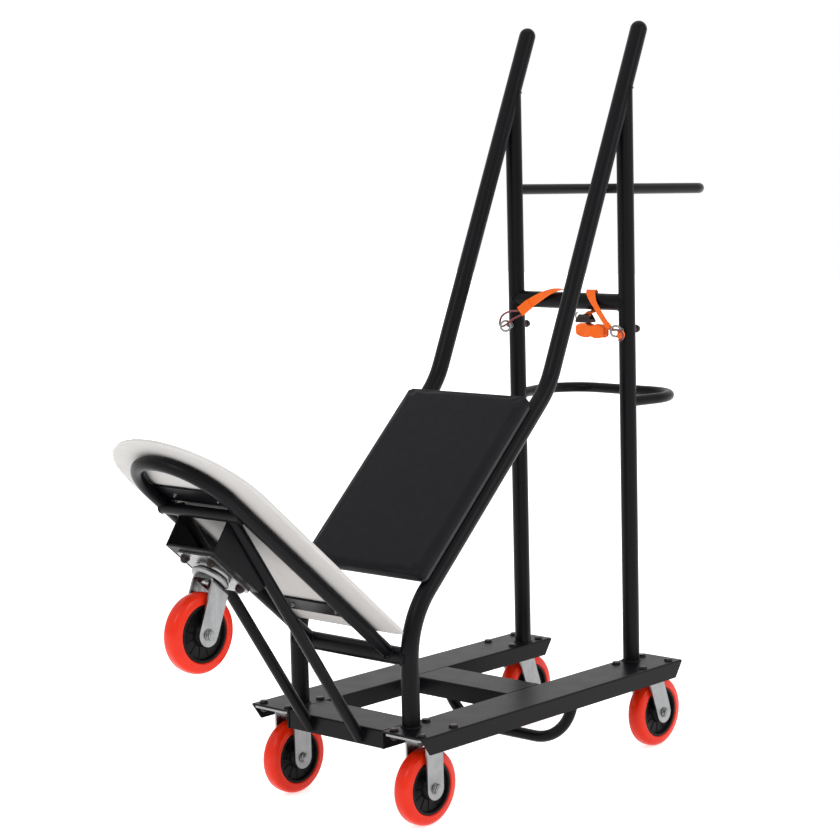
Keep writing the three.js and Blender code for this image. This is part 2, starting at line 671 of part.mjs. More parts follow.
for (const [side, sign] of sides) {
  addCaster(layout, `front_${side}`, [sign * TRACK_HALF, 0, CASTER_HEIGHT], CHANNEL_WALL, false);
  addCaster(layout, `rear_${side}`, [sign * TRACK_HALF, UPRIGHT_Y, CASTER_HEIGHT], CHANNEL_WALL, true);
}
addCaster(cradle, 'cradle', [0, MOUNT_Y, MOUNT_Z], MOUNT_THICKNESS, true);

// ---- eye bolts and lashing strap -------------------------------------------------------------------

function eyeBolt(x) {
  const ring = new THREE.TorusGeometry(8.5, 2.1, 6, 14);
  ring.rotateY(Math.PI / 2);
  ring.translate(x, EYE_Y, EYE_Z);
  const along = (from, to, radius, sides) => rod(
    vec(x, UPRIGHT_Y + from, EYE_Z), vec(x, UPRIGHT_Y + to, EYE_Z), radius, sides);
  return join(
    solid(ring),
    along(EYE_Y - UPRIGHT_Y + 7.5, 36, 3.4, 8),
    along(-TUBE_RADIUS - 2.2, -TUBE_RADIUS - GAP, 6.5, 8),
    along(TUBE_RADIUS + GAP, TUBE_RADIUS + 10, 5.4, 8),
    along(TUBE_RADIUS + 9.5, TUBE_RADIUS + 17, 7.5, 6),
  );
}
for (const [side, sign] of sides) {
  place(layout, `eye_bolt_${side}`, eyeBolt(sign * FRAME_HALF), zinc);
}

// A flat band of webbing through a list of centres. Its face points away from the crossbar's axis.
function webbing(centres) {
  const positions = [];
  const index = [];
  centres.forEach((centre, i) => {
    const along = centres[Math.min(i + 1, centres.length - 1)].clone().sub(centres[Math.max(i - 1, 0)]);
    const away = vec(0, centre.y - UPRIGHT_Y, Math.max(centre.z - CROSSBAR_Z, -4));
    const across = along.clone().cross(away).normalize().multiplyScalar(WEB_WIDTH / 2);
    const normal = across.clone().cross(along).normalize().multiplyScalar(WEB_THICKNESS / 2);
    for (const [w, t] of [[-1, -1], [1, -1], [1, 1], [-1, 1]]) {
      const corner = centre.clone().addScaledVector(across, w).addScaledVector(normal, t);
      positions.push(corner.x, corner.y, corner.z);
    }
  });
  const last = (centres.length - 1) * 4;
  index.push(0, 2, 1, 0, 3, 2, last, last + 1, last + 2, last, last + 2, last + 3);
  for (let s = 0; s < last; s += 4) {
    for (let k = 0; k < 4; k += 1) {
      const next = (k + 1) % 4;
      index.push(s + k, s + next, s + 4 + next, s + k, s + 4 + next, s + 4 + k);
    }
  }
  const geometry = new THREE.BufferGeometry();
  geometry.setAttribute('position', new THREE.Float32BufferAttribute(positions, 3));
  geometry.setIndex(index);
  return solid(geometry);
}

// The strap rises from the left hook, passes over the crossbar, along behind it, over it again and down
// to the right hook, where its end is rolled into a knot beside the eye.
place(layout, 'strap_main', webbing([
  vec(-92, 558.5, 790.5), vec(-76, 561.5, 802), vec(-56, 564.5, 813), vec(-37, 567.5, 822),
  vec(-26, 574, 826), vec(-18, 583, 827), vec(-11, 594, 824), vec(-3, 602, 814), vec(8, 604, 805),
  vec(22, 604, 806), vec(34, 602, 814), vec(43, 594, 824), vec(49, 583, 827.5), vec(54, 574, 824),
  vec(62, 567.5, 815), vec(70, 563.5, 805), vec(79, 561.5, 794), vec(90, 560, 781), vec(101, 557.5, 770),
]), orangeWeb);
place(layout, 'strap_drop', webbing([
  vec(46, 596, 788), vec(46, 587, 787.5), vec(46, 577, 787), vec(46, 569, 786.5),
]), orangeWeb);
place(layout, 'cam_buckle', alongZ(roundedRectangle(21, 9, 4), 770, 784.5)
  .translate([46, 569, 0]), darkSteel);
place(layout, 'strap_bundle', alongZ(roundedRectangle(32, 11, 9), 743, 769.5)
  .translate([58, 569, 0]), orangeWeb);
place(layout, 'strap_knot', rod(
  vec(131.4, 556.3, 751.6), vec(137, 556.3, 751.6), 7.5, 12), orangeWeb);

// Wire hooks link the ends of the webbing to the eye bolts.
place(layout, 'hook_left', bar([
  vec(-99, 557, 787.5), vec(-122, 555, 785), vec(-137, 552, 777), vec(-141.5, 550, 764),
  vec(-138, 550, 757.5), vec(-127.6, 550.3, 760.5), vec(-114, 553.5, 770.5), vec(-97, 557, 779),
], 3, 1.6, 6), redDip);
place(layout, 'hook_right', bar([
  vec(110, 556.5, 762.5), vec(118, 554, 760), vec(127.6, 550.5, 760.8), vec(139, 549.5, 759.5),
  vec(144, 550, 752), vec(141, 550.5, 744.5), vec(134, 551, 742.5),
], 3, 1.6, 6), redDip);

export default dolly;
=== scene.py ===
"""Looks for the furniture dolly: smooth tubes, casters, simulated pads, webbing and procedural materials."""

import json
import math

import bpy
import bmesh
from mathutils import Matrix, Vector


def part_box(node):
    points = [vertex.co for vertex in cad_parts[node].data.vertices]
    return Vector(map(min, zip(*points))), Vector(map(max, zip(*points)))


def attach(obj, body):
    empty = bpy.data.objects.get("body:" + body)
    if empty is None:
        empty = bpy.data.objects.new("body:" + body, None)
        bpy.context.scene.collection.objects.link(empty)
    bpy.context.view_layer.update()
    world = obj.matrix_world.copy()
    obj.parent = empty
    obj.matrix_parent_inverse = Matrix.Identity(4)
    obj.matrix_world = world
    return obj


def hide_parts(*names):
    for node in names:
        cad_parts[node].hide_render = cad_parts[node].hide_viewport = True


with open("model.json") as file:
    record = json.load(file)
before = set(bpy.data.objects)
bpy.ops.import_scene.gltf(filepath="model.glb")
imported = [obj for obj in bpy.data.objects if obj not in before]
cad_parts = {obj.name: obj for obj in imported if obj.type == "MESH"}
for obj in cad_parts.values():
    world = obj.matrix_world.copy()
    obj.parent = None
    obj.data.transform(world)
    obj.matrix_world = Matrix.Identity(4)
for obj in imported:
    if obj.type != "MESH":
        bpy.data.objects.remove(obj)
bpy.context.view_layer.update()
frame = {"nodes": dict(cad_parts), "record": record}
scene = bpy.context.scene
nodes = frame["nodes"]
slot_of_node = {s["node"]: s["material_slot"] for s in frame["record"]["subparts"]}
MM = 0.001


def middle(node):
    low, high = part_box(node)
    return (low + high) / 2


# ---- camera: a long lens at the front right, a little above the deck -----------------------------------

axle_y = middle("front_left_axle").y
camera_data = bpy.data.cameras.new("camera")
camera = bpy.data.objects.new("camera", camera_data)
scene.collection.objects.link(camera)
scene.camera = camera
camera_data.sensor_width = 36
camera_data.lens = 96.29786
camera_data.clip_end = 50
right = Vector((0.736333, 0.676193, -0.024002))
up = Vector((-0.064247, 0.105186, 0.992375))
back = Vector((0.673562, -0.729177, 0.120895))
camera.matrix_world = Matrix((
    (right.x, up.x, back.x, 2.555942),
    (right.y, up.y, back.y, -2.593578 + axle_y),
    (right.z, up.z, back.z, 1.090912),
    (0, 0, 0, 1),
))

# ---- coordinates: millimetres from the front axle, and the two tilted sub-frames --------------------

DECK = 159
CASTER_TOP = 156
TRACK = 152
FRAME_HALF = 127.6
UPRIGHT_Y = 583.2
CRADLE = Matrix.Translation((0, -0.015, 0.2805)) @ Matrix.Rotation(math.radians(-41.1), 4, "X")
PAD_SLOPE = math.radians(43.5)
BACK_FOOT = Matrix.Translation((0, 0.0875, (676 - 270.7 * math.tan(PAD_SLOPE)) * MM))
BACK = BACK_FOOT @ Matrix.Rotation(PAD_SLOPE, 4, "X")
SHIFT = Matrix.Translation((0, axle_y, 0))


def at(x, y, z):
    return Vector((x * MM, y * MM + axle_y, z * MM))


def in_cradle(x, y, z):
    return SHIFT @ CRADLE @ (Vector((x, y, z)) * MM)


# ---- materials ---------------------------------------------------------------------------------------


class Nodes:
    """A Principled material with short calls for the nodes it uses."""

    def __init__(self, name):
        self.material = bpy.data.materials.new(name)
        self.material.use_nodes = True
        self.tree = self.material.node_tree
        self.shader = self.tree.nodes["Principled BSDF"]
        self.coords = self.tree.nodes.new("ShaderNodeTexCoord")

    def set(self, **values):
        for key, value in values.items():
            self.shader.inputs[key.replace("_", " ")].default_value = value

    def new(self, kind, **settings):
        node = self.tree.nodes.new(kind)
        for key, value in settings.items():
            if hasattr(node, key):
                setattr(node, key, value)
            else:
                node.inputs[key.replace("_", " ")].default_value = value
        return node

    def link(self, a, b):
        self.tree.links.new(a, b)

    def noise(self, scale, detail=3, roughness=0.5, stretch=None, space="Object"):
        node = self.new("ShaderNodeTexNoise", Scale=scale, Detail=detail, Roughness=roughness)
        source = self.coords.outputs[space]
        if stretch:
            mapping = self.new("ShaderNodeMapping")
            mapping.inputs["Scale"].default_value = stretch
            self.link(source, mapping.inputs["Vector"])
            source = mapping.outputs["Vector"]
        self.link(source, node.inputs["Vector"])
        return node.outputs["Fac"]

    def range(self, value, low, high, start=0.3, end=0.7):
        node = self.new("ShaderNodeMapRange")
        for key, number in zip(("From Min", "From Max", "To Min", "To Max"), (start, end, low, high)):
            node.inputs[key].default_value = number
        self.link(value, node.inputs["Value"])
        return node.outputs["Result"]

    def blend(self, factor, a, b):
        node = self.new("ShaderNodeMix", data_type="RGBA")
        for socket, value in ((node.inputs[6], a), (node.inputs[7], b)):
            if isinstance(value, tuple):
                socket.default_value = (*value, 1)
            else:
                self.link(value, socket)
        self.link(factor, node.inputs[0])
        return node.outputs[2]

    def color(self, factor, a, b):
        self.link(self.blend(factor, a, b), self.shader.inputs["Base Color"])

    def rough(self, value, low, high):
        self.link(self.range(value, low, high), self.shader.inputs["Roughness"])

    def math(self, operation, a, b):
        node = self.new("ShaderNodeMath", operation=operation)
        for socket, value in ((node.inputs[0], a), (node.inputs[1], b)):
            if isinstance(value, (int, float)):
                socket.default_value = value
            else:
                self.link(value, socket)
        return node.outputs[0]

    def bump(self, height, distance, strength=1.0):
        node = self.new("ShaderNodeBump", Distance=distance, Strength=strength)
        self.link(height, node.inputs["Height"])
        previous = self.shader.inputs["Normal"]
        if previous.is_linked:
            self.link(previous.links[0].from_socket, node.inputs["Normal"])
        self.link(node.outputs["Normal"], previous)

    def voronoi(self, scale, feature="F1"):
        node = self.new("ShaderNodeTexVoronoi", feature=feature, Scale=scale)
        self.link(self.coords.outputs["Object"], node.inputs["Vector"])
        return node.outputs["Distance"]


def powder_coat():
    m = Nodes("powder_coat")
    broad = m.noise(9, 4)
    m.color(broad, (0.0026, 0.0026, 0.0034), (0.0036, 0.0036, 0.0046))
    m.rough(m.noise(25, 2), 0.32, 0.36)
    m.bump(m.noise(1100, 2), 0.00006, 0.6)
    m.set(Specular_IOR_Level=0.10)
    return m.material


def zinc():
    m = Nodes("zinc")
    m.set(Metallic=1.0)
    m.color(m.noise(45, 4), (0.18, 0.182, 0.186), (0.31, 0.312, 0.316))
    m.rough(m.noise(160, 4, stretch=(1, 1, 0.12)), 0.22, 0.38)
    m.bump(m.noise(900, 2, stretch=(1, 1, 0.1)), 0.00003, 0.6)
    return m.material


def tread():
    m = Nodes("tread")
    m.color(m.noise(30, 3), (0.54, 0.012, 0.002), (0.64, 0.022, 0.003))
    m.rough(m.noise(120, 3), 0.16, 0.24)
    m.bump(m.noise(420, 2), 0.00005, 0.5)
    m.set(Specular_IOR_Level=0.2)
    return m.material


def hub():
    m = Nodes("hub")
    m.color(m.noise(60, 3), (0.0028, 0.0028, 0.003), (0.0045, 0.0045, 0.0048))
    m.rough(m.noise(140, 3), 0.36, 0.50)
    m.bump(m.noise(900, 3), 0.00006, 0.6)
    m.set(Specular_IOR_Level=0.12)
    return m.material


def vinyl(name, dark, light, rough, specular):
    m = Nodes(name)
    m.color(m.noise(14, 4), dark, light)
    m.rough(m.noise(60, 3), rough - 0.05, rough + 0.05)
    grain = m.math("MULTIPLY", m.voronoi(620, "F1"), m.noise(900, 3))
    m.bump(m.noise(22, 3), 0.0008, 0.35)
    m.bump(grain, 0.00022, 0.8)
    m.set(Specular_IOR_Level=specular)
    return m.material


def board(name, dark, light):
    m = Nodes(name)
    m.color(m.noise(30, 5), dark, light)
    m.rough(m.noise(80, 3), 0.55, 0.7)
    m.bump(m.noise(500, 4), 0.0001, 0.6)
    return m.material


def webbing():
    """Woven tape; u runs across and v along the band, both in millimetres."""
    m = Nodes("webbing")
    axes = m.new("ShaderNodeSeparateXYZ")
    m.link(m.coords.outputs["UV"], axes.inputs[0])
    u, v = axes.outputs[0], axes.outputs[1]
    ribs = m.math("SINE", m.math("MULTIPLY", u, 2 * math.pi / 1.6), 0)
    phase = m.math("MULTIPLY", m.math("SIGN", ribs, 0), math.pi / 2)
    picks = m.math("SINE", m.math("ADD", m.math("MULTIPLY", v, 2 * math.pi / 1.9), phase), 0)
    weave = m.math("MULTIPLY", m.math("ABSOLUTE", ribs, 0), m.math("ADD", picks, 1.6))
    dirt = m.noise(90, 4)
    thread = m.blend(m.range(weave, 0, 1, 0.2, 2.0), (0.84, 0.100, 0.003), (1.0, 0.200, 0.008))
    m.color(m.range(dirt, 0, 0.45), thread, (0.90, 0.125, 0.005))
    m.rough(dirt, 0.62, 0.78)
    m.bump(weave, 0.00016, 0.9)
    m.set(Specular_IOR_Level=0.2, Sheen_Weight=0.08, Sheen_Roughness=0.5)
    return m.material


def simple(name, dark, light, low, high, metallic=0.0, grain=700, depth=0.00004, coat=0.0):
    m = Nodes(name)
    m.color(m.noise(80, 4), dark, light)
    m.rough(m.noise(200, 3), low, high)
    m.bump(m.noise(grain, 3), depth, 0.6)
    m.set(Metallic=metallic, Coat_Weight=coat)
    return m.material


MATERIALS = {
    "powder_coat": powder_coat(),
    "zinc": zinc(),
    "tread": tread(),
    "hub": hub(),
    "vinyl_black": vinyl("vinyl_black", (0.0036, 0.0036, 0.0052), (0.0054, 0.0054, 0.0076), 0.46, 0.10),
    "vinyl_white": vinyl("vinyl_white", (0.45, 0.440, 0.432), (0.52, 0.510, 0.500), 0.50, 0.25),
    "board_white": board("board_white", (0.42, 0.408, 0.398), (0.48, 0.468, 0.456)),
    "board_black": board("board_black", (0.012, 0.012, 0.013), (0.022, 0.022, 0.024)),
    "webbing": webbing(),
    "dipped_wire": simple("dipped_wire", (0.12, 0.012, 0.012), (0.19, 0.018, 0.016), 0.28, 0.42, coat=0.3),
    "buckle_steel": simple("buckle_steel", (0.022, 0.016, 0.015), (0.042, 0.030, 0.027), 0.30, 0.46, 0.7),
}

# ---- mesh building -----------------------------------------------------------------------------------


class Shape:
    """Collects vertices and faces of one piece."""

    def __init__(self):
        self.verts = []
        self.faces = []
        self.uvs = []

    def add(self, verts, faces, matrix=None, uvs=None):
        start = len(self.verts)
        self.verts += [matrix @ v if matrix else v for v in verts]
        self.faces += [tuple(start + i for i in face) for face in faces]
        if uvs:
            self.uvs += uvs
        return self

    def build(self, name, slot, body, replaces=(), angle=38, bevel=0.0, segments=2):
        mesh = bpy.data.meshes.new(name)
        mesh.from_pydata([tuple(v) for v in self.verts], [], self.faces)
        if self.uvs:
            layer = mesh.uv_layers.new(name="band")
            for polygon in mesh.polygons:
                for i in polygon.loop_indices:
                    layer.data[i].uv = self.uvs[mesh.loops[i].vertex_index]
        work = bmesh.new()
        work.from_mesh(mesh)
        bmesh.ops.recalc_face_normals(work, faces=work.faces)
        work.to_mesh(mesh)
        work.free()
        mesh.shade_smooth()
        mesh.set_sharp_from_angle(angle=math.radians(angle))
        obj = bpy.data.objects.new(name, mesh)
        scene.collection.objects.link(obj)
        mesh.materials.append(MATERIALS[slot])
        if bevel:
            add_bevel(obj, bevel, segments)
        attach(obj, body)
        if replaces:
            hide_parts(*replaces)
        return obj


def add_bevel(obj, width, segments=2):
    modifier = obj.modifiers.new("edges", "BEVEL")
    modifier.width = width
    modifier.segments = segments
    modifier.limit_method = "ANGLE"
    modifier.angle_limit = math.radians(38)
    modifier.harden_normals = True


def frames_along(points, closed):
    """Tangent and two normals at each point, carried along the path without twist."""
    count = len(points)
    tangents = []
    for i in range(count):
        ahead = points[(i + 1) % count] if closed else points[min(i + 1, count - 1)]
        behind = points[i - 1] if closed else points[max(i - 1, 0)]
        tangents.append((ahead - behind).normalized())
    side = tangents[0].orthogonal().normalized()
    result = []
    for tangent in tangents:
        side = (side - tangent * side.dot(tangent)).normalized()
        result.append((tangent, side, tangent.cross(side)))
    return result


def sweep(points, radius, sides=32, closed=False, dome=False, start_planes=()):
    """A round bar along points. radius is a number or one for each point; dome rounds the far end."""
    points = list(points)
    radii = [radius] * len(points) if isinstance(radius, (int, float)) else list(radius)
    if dome:
        direction = (points[-1] - points[-2]).normalized()
        end = points[-1]
        for k in range(1, 7):
            turn = math.pi / 2 * k / 6.3
            points.append(end + direction * radii[0] * math.sin(turn))
            radii.append(radii[0] * math.cos(turn))
    verts = []
    for i, (point, (tangent, a, b)) in enumerate(zip(points, frames_along(points, closed))):
        for k in range(sides):
            turn = 2 * math.pi * k / sides
            vert = point + (a * math.cos(turn) + b * math.sin(turn)) * radii[i]
            if i == 0 and start_planes:
                cuts = [(origin - vert).dot(normal) / tangent.dot(normal) for origin, normal in start_planes]
                vert = vert + tangent * max(cuts)
            verts.append(vert)
    faces = []
    rings = len(points)
    for i in range(rings if closed else rings - 1):
        for k in range(sides):
            j = (i + 1) % rings
            n = (k + 1) % sides
            faces.append((i * sides + k, i * sides + n, j * sides + n, j * sides + k))
    if not closed:
        faces.append(tuple(range(sides - 1, -1, -1)))
        faces.append(tuple((rings - 1) * sides + k for k in range(sides)))
    return verts, faces


def bent(corners, bend_radius, step=0.05):
    """Centre line through corners, rounded with one bend radius in metres."""
    points = [corners[0]]
    for before, corner, after in zip(corners, corners[1:], corners[2:]):
        a = (corner - before).normalized()
        b = (after - corner).normalized()
        turn = a.angle(b)
        inward = (b - a * math.cos(turn)).normalized()
        start = corner - a * bend_radius * math.tan(turn / 2)
        centre = start + inward * bend_radius
        count = max(2, math.ceil(turn / step))
        for k in range(count + 1):
            angle = turn * k / count
            points.append(centre - inward * bend_radius * math.cos(angle) + a * bend_radius * math.sin(angle))
    points.append(corners[-1])
    clean = [points[0]]
    for point in points[1:]:
        if (point - clean[-1]).length > 1e-4:
            clean.append(point)
    return clean


def prism(outline, low, high):
    """An outline of (x, y) in millimetres raised from z = low to high."""
    count = len(outline)
    verts = [Vector((x, y, z)) * MM for z in (low, high) for x, y in outline]
    faces = [tuple(range(count - 1, -1, -1)), tuple(range(count, 2 * count))]
    faces += [(k, (k + 1) % count, count + (k + 1) % count, count + k) for k in range(count)]
    return verts, faces


def box(x0, x1, y0, y1, z0, z1):
    return prism([(x0, y0), (x1, y0), (x1, y1), (x0, y1)], z0, z1)


def lathe(profile, segments=48):
    """A closed (z, radius) profile in millimetres turned about Z; a radius of 0 closes on the axis."""
    verts = []
    faces = []
    rings = []
    for z, radius in profile:
        if radius < 1e-6:
            rings.append([len(verts)] * segments)
            verts.append(Vector((0, 0, z * MM)))
            continue
        rings.append(list(range(len(verts), len(verts) + segments)))
        for k in range(segments):
            turn = 2 * math.pi * k / segments
            verts.append(Vector((radius * math.cos(turn), radius * math.sin(turn), z)) * MM)
    pairs = list(zip(rings, rings[1:]))
    if profile[0][1] > 1e-6:
        pairs.append((rings[-1], rings[0]))
    for a, b in pairs:
        for k in range(segments):
            j = (k + 1) % segments
            face = []
            for index in (a[k], a[j], b[j], b[k]):
                if index not in face:
                    face.append(index)
            if len(face) > 2:
                faces.append(tuple(face))
    return verts, faces


def arc(cx, cy, radius, start, end, steps):
    points = []
    for k in range(steps + 1):
        turn = math.radians(start + (end - start) * k / steps)
        points.append((cx + radius * math.cos(turn), cy + radius * math.sin(turn)))
    return points


def rounded(hx, hy, radius, steps=6):
    """A rectangle about the origin with round corners."""
    x = hx - radius
    y = hy - radius
    points = []
    for cx, cy, start in ((x, y, 0), (-x, y, 90), (-x, -y, 180), (x, -y, 270)):
        points += arc(cx, cy, radius, start, start + 90, steps)
    return points


def facing(origin, z_axis, x_hint=Vector((1, 0, 0))):
    """A matrix whose local Z points along z_axis, placed at origin."""
    z = z_axis.normalized()
    x = (x_hint - z * x_hint.dot(z)).normalized()
    y = z.cross(x)
    matrix = Matrix((x, y, z)).transposed().to_4x4()
    matrix.translation = origin
    return matrix


def hexagon(shape, matrix, low, high, across, dome=0.0, turn=0.0):
    """A hexagonal head or nut with chamfered corners; across is its width over the flats."""
    radius = across / math.sqrt(3)
    flat = across / 2
    cut = min(1.0, (high - low) * 0.22)
    levels = [(low, flat * 0.97), (low + cut, radius), (high - cut, radius), (high, flat * 0.97)]
    verts = []
    faces = []
    sides = 24
    for z, limit in levels:
        for k in range(sides):
            angle = 2 * math.pi * k / sides
            local = (angle + math.pi / 6) % (math.pi / 3) - math.pi / 6
            reach = min(flat / math.cos(local), limit)
            verts.append(Vector((reach * math.cos(angle + turn), reach * math.sin(angle + turn), z)) * MM)
    for i in range(3):
        for k in range(sides):
            j = (k + 1) % sides
            faces.append((i * sides + k, i * sides + j, (i + 1) * sides + j, (i + 1) * sides + k))
    faces.append(tuple(range(sides - 1, -1, -1)))
    faces.append(tuple(3 * sides + k for k in range(sides)))
    shape.add(verts, faces, matrix)
    if dome:
        crown = [(high - 0.2, flat * 0.62), (high + dome * 0.7, flat * 0.5), (high + dome, 0)]
        shape.add(*lathe(crown, 20), matrix)


def disc(shape, matrix, low, high, radius, bore=0.0, edge=0.5, segments=40):
    """A turned washer, collar or pin end with broken edges."""
    profile = [(low, bore), (low, radius - edge), (low + edge, radius)]
    profile += [(high - edge, radius), (high, radius - edge), (high, bore)]
    shape.add(*lathe(profile, segments), matrix)


def nyloc(shape, matrix, low, across=13.0, turn=0.0):
    """A lock nut with its collar and the bolt's end."""
    hexagon(shape, matrix, low, low + 5.2, across, turn=turn)
    disc(shape, matrix, low + 5.0, low + 7.2, across * 0.42, across * 0.26, 0.7, 28)
    disc(shape, matrix, low, low + 8.2, across * 0.26, 0.0, 0.6, 20)


# ---- welded tube frame -------------------------------------------------------------------------------

beads = Shape()


def bead(points, radius):
    """A closed weld bead with the small ripples of its passes."""
    length = sum((a - b).length for a, b in zip(points, points[1:] + points[:1]))
    count = max(24, int(length / 0.0009))
    lengths = [0.0]
    for a, b in zip(points, points[1:] + points[:1]):
        lengths.append(lengths[-1] + (b - a).length)
    path = []
    cursor = 0
    for k in range(count):
        target = length * k / count
        while lengths[cursor + 1] < target:
            cursor += 1
        a, b = points[cursor], points[(cursor + 1) % len(points)]
        share = (target - lengths[cursor]) / max(1e-9, lengths[cursor + 1] - lengths[cursor])
        path.append(a.lerp(b, share))
    ripples = [1 + 0.10 * math.sin(k * 1.55) + 0.05 * math.sin(k * 0.37 + 1) for k in range(count)]
    radii = [radius * MM * ripple for ripple in ripples]
    beads.add(*sweep(path, radii, 8, closed=True))


def saddle(origin, direction, radius, axis_point, axis, tube_radius, steps=40):
    """Where a tube of radius from origin along direction meets the surface of another tube. Radii in mm."""
    direction = direction.normalized()
    axis = axis.normalized()
    u = direction.orthogonal().normalized()
    v = direction.cross(u)
    points = []
    for k in range(steps):
        turn = 2 * math.pi * k / steps
        start = origin + (u * math.cos(turn) + v * math.sin(turn)) * radius * MM
        d = direction - axis * direction.dot(axis)
        m = (start - axis_point) - axis * (start - axis_point).dot(axis)
        a, b, c = d.dot(d), 2 * d.dot(m), m.dot(m) - (tube_radius * MM) ** 2
        root = b * b - 4 * a * c
        t = (-b - math.sqrt(max(root, 0.0))) / (2 * a)
        points.append(start + direction * t)
    return points


def ring(centre, normal, radius, steps=40):
    matrix = facing(centre, normal)
    turns = [2 * math.pi * k / steps for k in range(steps)]
    return [matrix @ (Vector((radius * math.cos(turn), radius * math.sin(turn), 0)) * MM) for turn in turns]


def tube(node, points, radius, **options):
    shape = Shape().add(*sweep(points, radius * MM, **options))
    return shape.build(f"{node}_tube", "powder_coat", "frame", [node], angle=50)


sides = (("left", -1), ("right", 1))
X, Y, Z = Vector((1, 0, 0)), Vector((0, 1, 0)), Vector((0, 0, 1))
MAIN_TUBE = 15
LOOP_TUBE = 9.5
FOOT_TUBE = 10
HOOP_TUBE = 11.2
SIDE_Y = -3
LOWER_BEND = (358.2, 676)
SIDE_TOP = (627.5, 1286.5)
CROSSBAR_Z = 807
LOWER_LOOP_Z = 630
FOOT_LOOP = (149, 387)
HOOP_HALF = 90.4
HOOP_END = -530
CRADLE_TUBE = (-405, -6.3)
STRUT_X = 57.1
STRUT_FOOT = (-51, 139)
STRUT_HEAD = (-317.4, 540.5)
STRUT_END_Z = 134
foot_bend = (SIDE_Y, LOWER_BEND[1] - (LOWER_BEND[0] - SIDE_Y) * math.tan(PAD_SLOPE))
handle_run = (at(0, *SIDE_TOP) - at(0, *LOWER_BEND)).normalized()
cradle_run = in_cradle(0, 1, 0) - in_cradle(0, 0, 0)


def side_frame(side, x):
    """A side tube, from the deck up the back rest's slope to the handle, and the upright that meets it."""
    corners = [at(x, SIDE_Y, DECK - 1), at(x, *foot_bend), at(x, *LOWER_BEND), at(x, *SIDE_TOP)]
    tube(f"side_tube_{side}", bent(corners, 0.152, 0.035), MAIN_TUBE, sides=40, dome=True)
    tube(f"upright_{side}", [at(x, UPRIGHT_Y, DECK - 1), at(x, UPRIGHT_Y, 1186)], MAIN_TUBE, sides=40)
    for y in (SIDE_Y, UPRIGHT_Y):
        bead(ring(at(x, y, DECK), Z, MAIN_TUBE + 0.6), 2.3)
    bead(saddle(at(x, UPRIGHT_Y, 1000), Z, MAIN_TUBE, at(x, *LOWER_BEND), handle_run, MAIN_TUBE), 1.8)


def cross_tube(node, y, z, side_y):
    """A level tube between the two sides, whose tubes stand at side_y."""
    tube(node, [at(-FRAME_HALF, y, z), at(FRAME_HALF, y, z)], MAIN_TUBE, sides=40)
    for side, sign in sides:
        side_tube = at(sign * FRAME_HALF, side_y, 0)
        bead(saddle(at(0, y, z), X * sign, MAIN_TUBE, side_tube, Z, MAIN_TUBE), 2.0)


def handle_loops():
    upper = [at(-FRAME_HALF, UPRIGHT_Y, 1008), at(-FRAME_HALF, 835, 1002), at(FRAME_HALF, 835, 1002),
             at(FRAME_HALF, UPRIGHT_Y, 1008)]
    tube("handle_loop_upper", bent(upper, 0.045), LOOP_TUBE)
    z = LOWER_LOOP_Z
    lower = [at(-FRAME_HALF, UPRIGHT_Y, z), at(-157, 740, z), at(157, 740, z), at(FRAME_HALF, UPRIGHT_Y, z)]
    tube("handle_loop_lower", bent(lower, 0.078), LOOP_TUBE)
    for side, sign in sides:
        upright = at(sign * FRAME_HALF, UPRIGHT_Y, 0)
        start = at(sign * FRAME_HALF, 700, 1005.2)
        bead(saddle(start, upper[0] - upper[1], LOOP_TUBE, upright, Z, MAIN_TUBE), 1.6)
        inward = at(sign * FRAME_HALF, UPRIGHT_Y, z) - at(sign * 157, 740, z)
        start = at(sign * 150, 720, z)
        bead(saddle(start, inward, LOOP_TUBE, upright, Z, MAIN_TUBE), 1.6)


def foot_loop():
    x, y = FOOT_LOOP
    corners = [at(-x, y, CASTER_TOP + 1), at(-x, y, 50), at(x, y, 50), at(x, y, CASTER_TOP + 1)]
    tube("foot_loop", bent(corners, 0.088), FOOT_TUBE)
    for side, sign in sides:
        bead(ring(at(sign * x, y, CASTER_TOP), Z, FOOT_TUBE + 0.4), 1.7)


def cradle_tubes():
    hoop = [in_cradle(-HOOP_HALF, -2, 0), in_cradle(-HOOP_HALF, HOOP_END, 0),
            in_cradle(HOOP_HALF, HOOP_END, 0), in_cradle(HOOP_HALF, -2, 0)]
    tube("cradle_hoop", bent(hoop, (HOOP_HALF - 0.01) * MM, 0.04), HOOP_TUBE, sides=36)
    ends = [in_cradle(-HOOP_HALF, *CRADLE_TUBE), in_cradle(HOOP_HALF, *CRADLE_TUBE)]
    tube("cradle_cross_tube", ends, LOOP_TUBE)
    middle_of_cross = in_cradle(0, *CRADLE_TUBE)
    for side, sign in sides:
        leg = in_cradle(sign * HOOP_HALF, -60, 0)
        bead(saddle(leg, cradle_run, HOOP_TUBE, at(0, -4, 273), X, MAIN_TUBE), 1.8)
        bead(saddle(middle_of_cross, X * sign, LOOP_TUBE, leg, cradle_run, HOOP_TUBE), 1.1)


def strut(side, x):
    """A strut from the front channel's face, cut level above the channel's edge, to the cradle."""
    foot = at(x, *STRUT_FOOT)
    head = at(x, *STRUT_HEAD)
    run = (head - foot).normalized()
    planes = ((at(0, -49.5, 0), Y), (at(0, 0, STRUT_END_Z), Z))
    tube(f"strut_{side}", [foot - run * 0.012, head], LOOP_TUBE, sides=64, start_planes=planes)
    face = at(0, -50.5, 0)
    loop = []
    for k in range(60):
        turn = 2 * math.pi * k / 60
        point = foot + (X * math.cos(turn) + run.cross(X) * math.sin(turn)) * 0.0097
        point += run * ((face - point).dot(Y) / run.dot(Y))
        point.z = max(point.z, (STRUT_END_Z + 0.5) * MM)
        loop.append(point)
    bead(loop, 1.2)
    bead(saddle(foot + run * 0.3, run, LOOP_TUBE, in_cradle(0, *CRADLE_TUBE), X, LOOP_TUBE), 1.5)


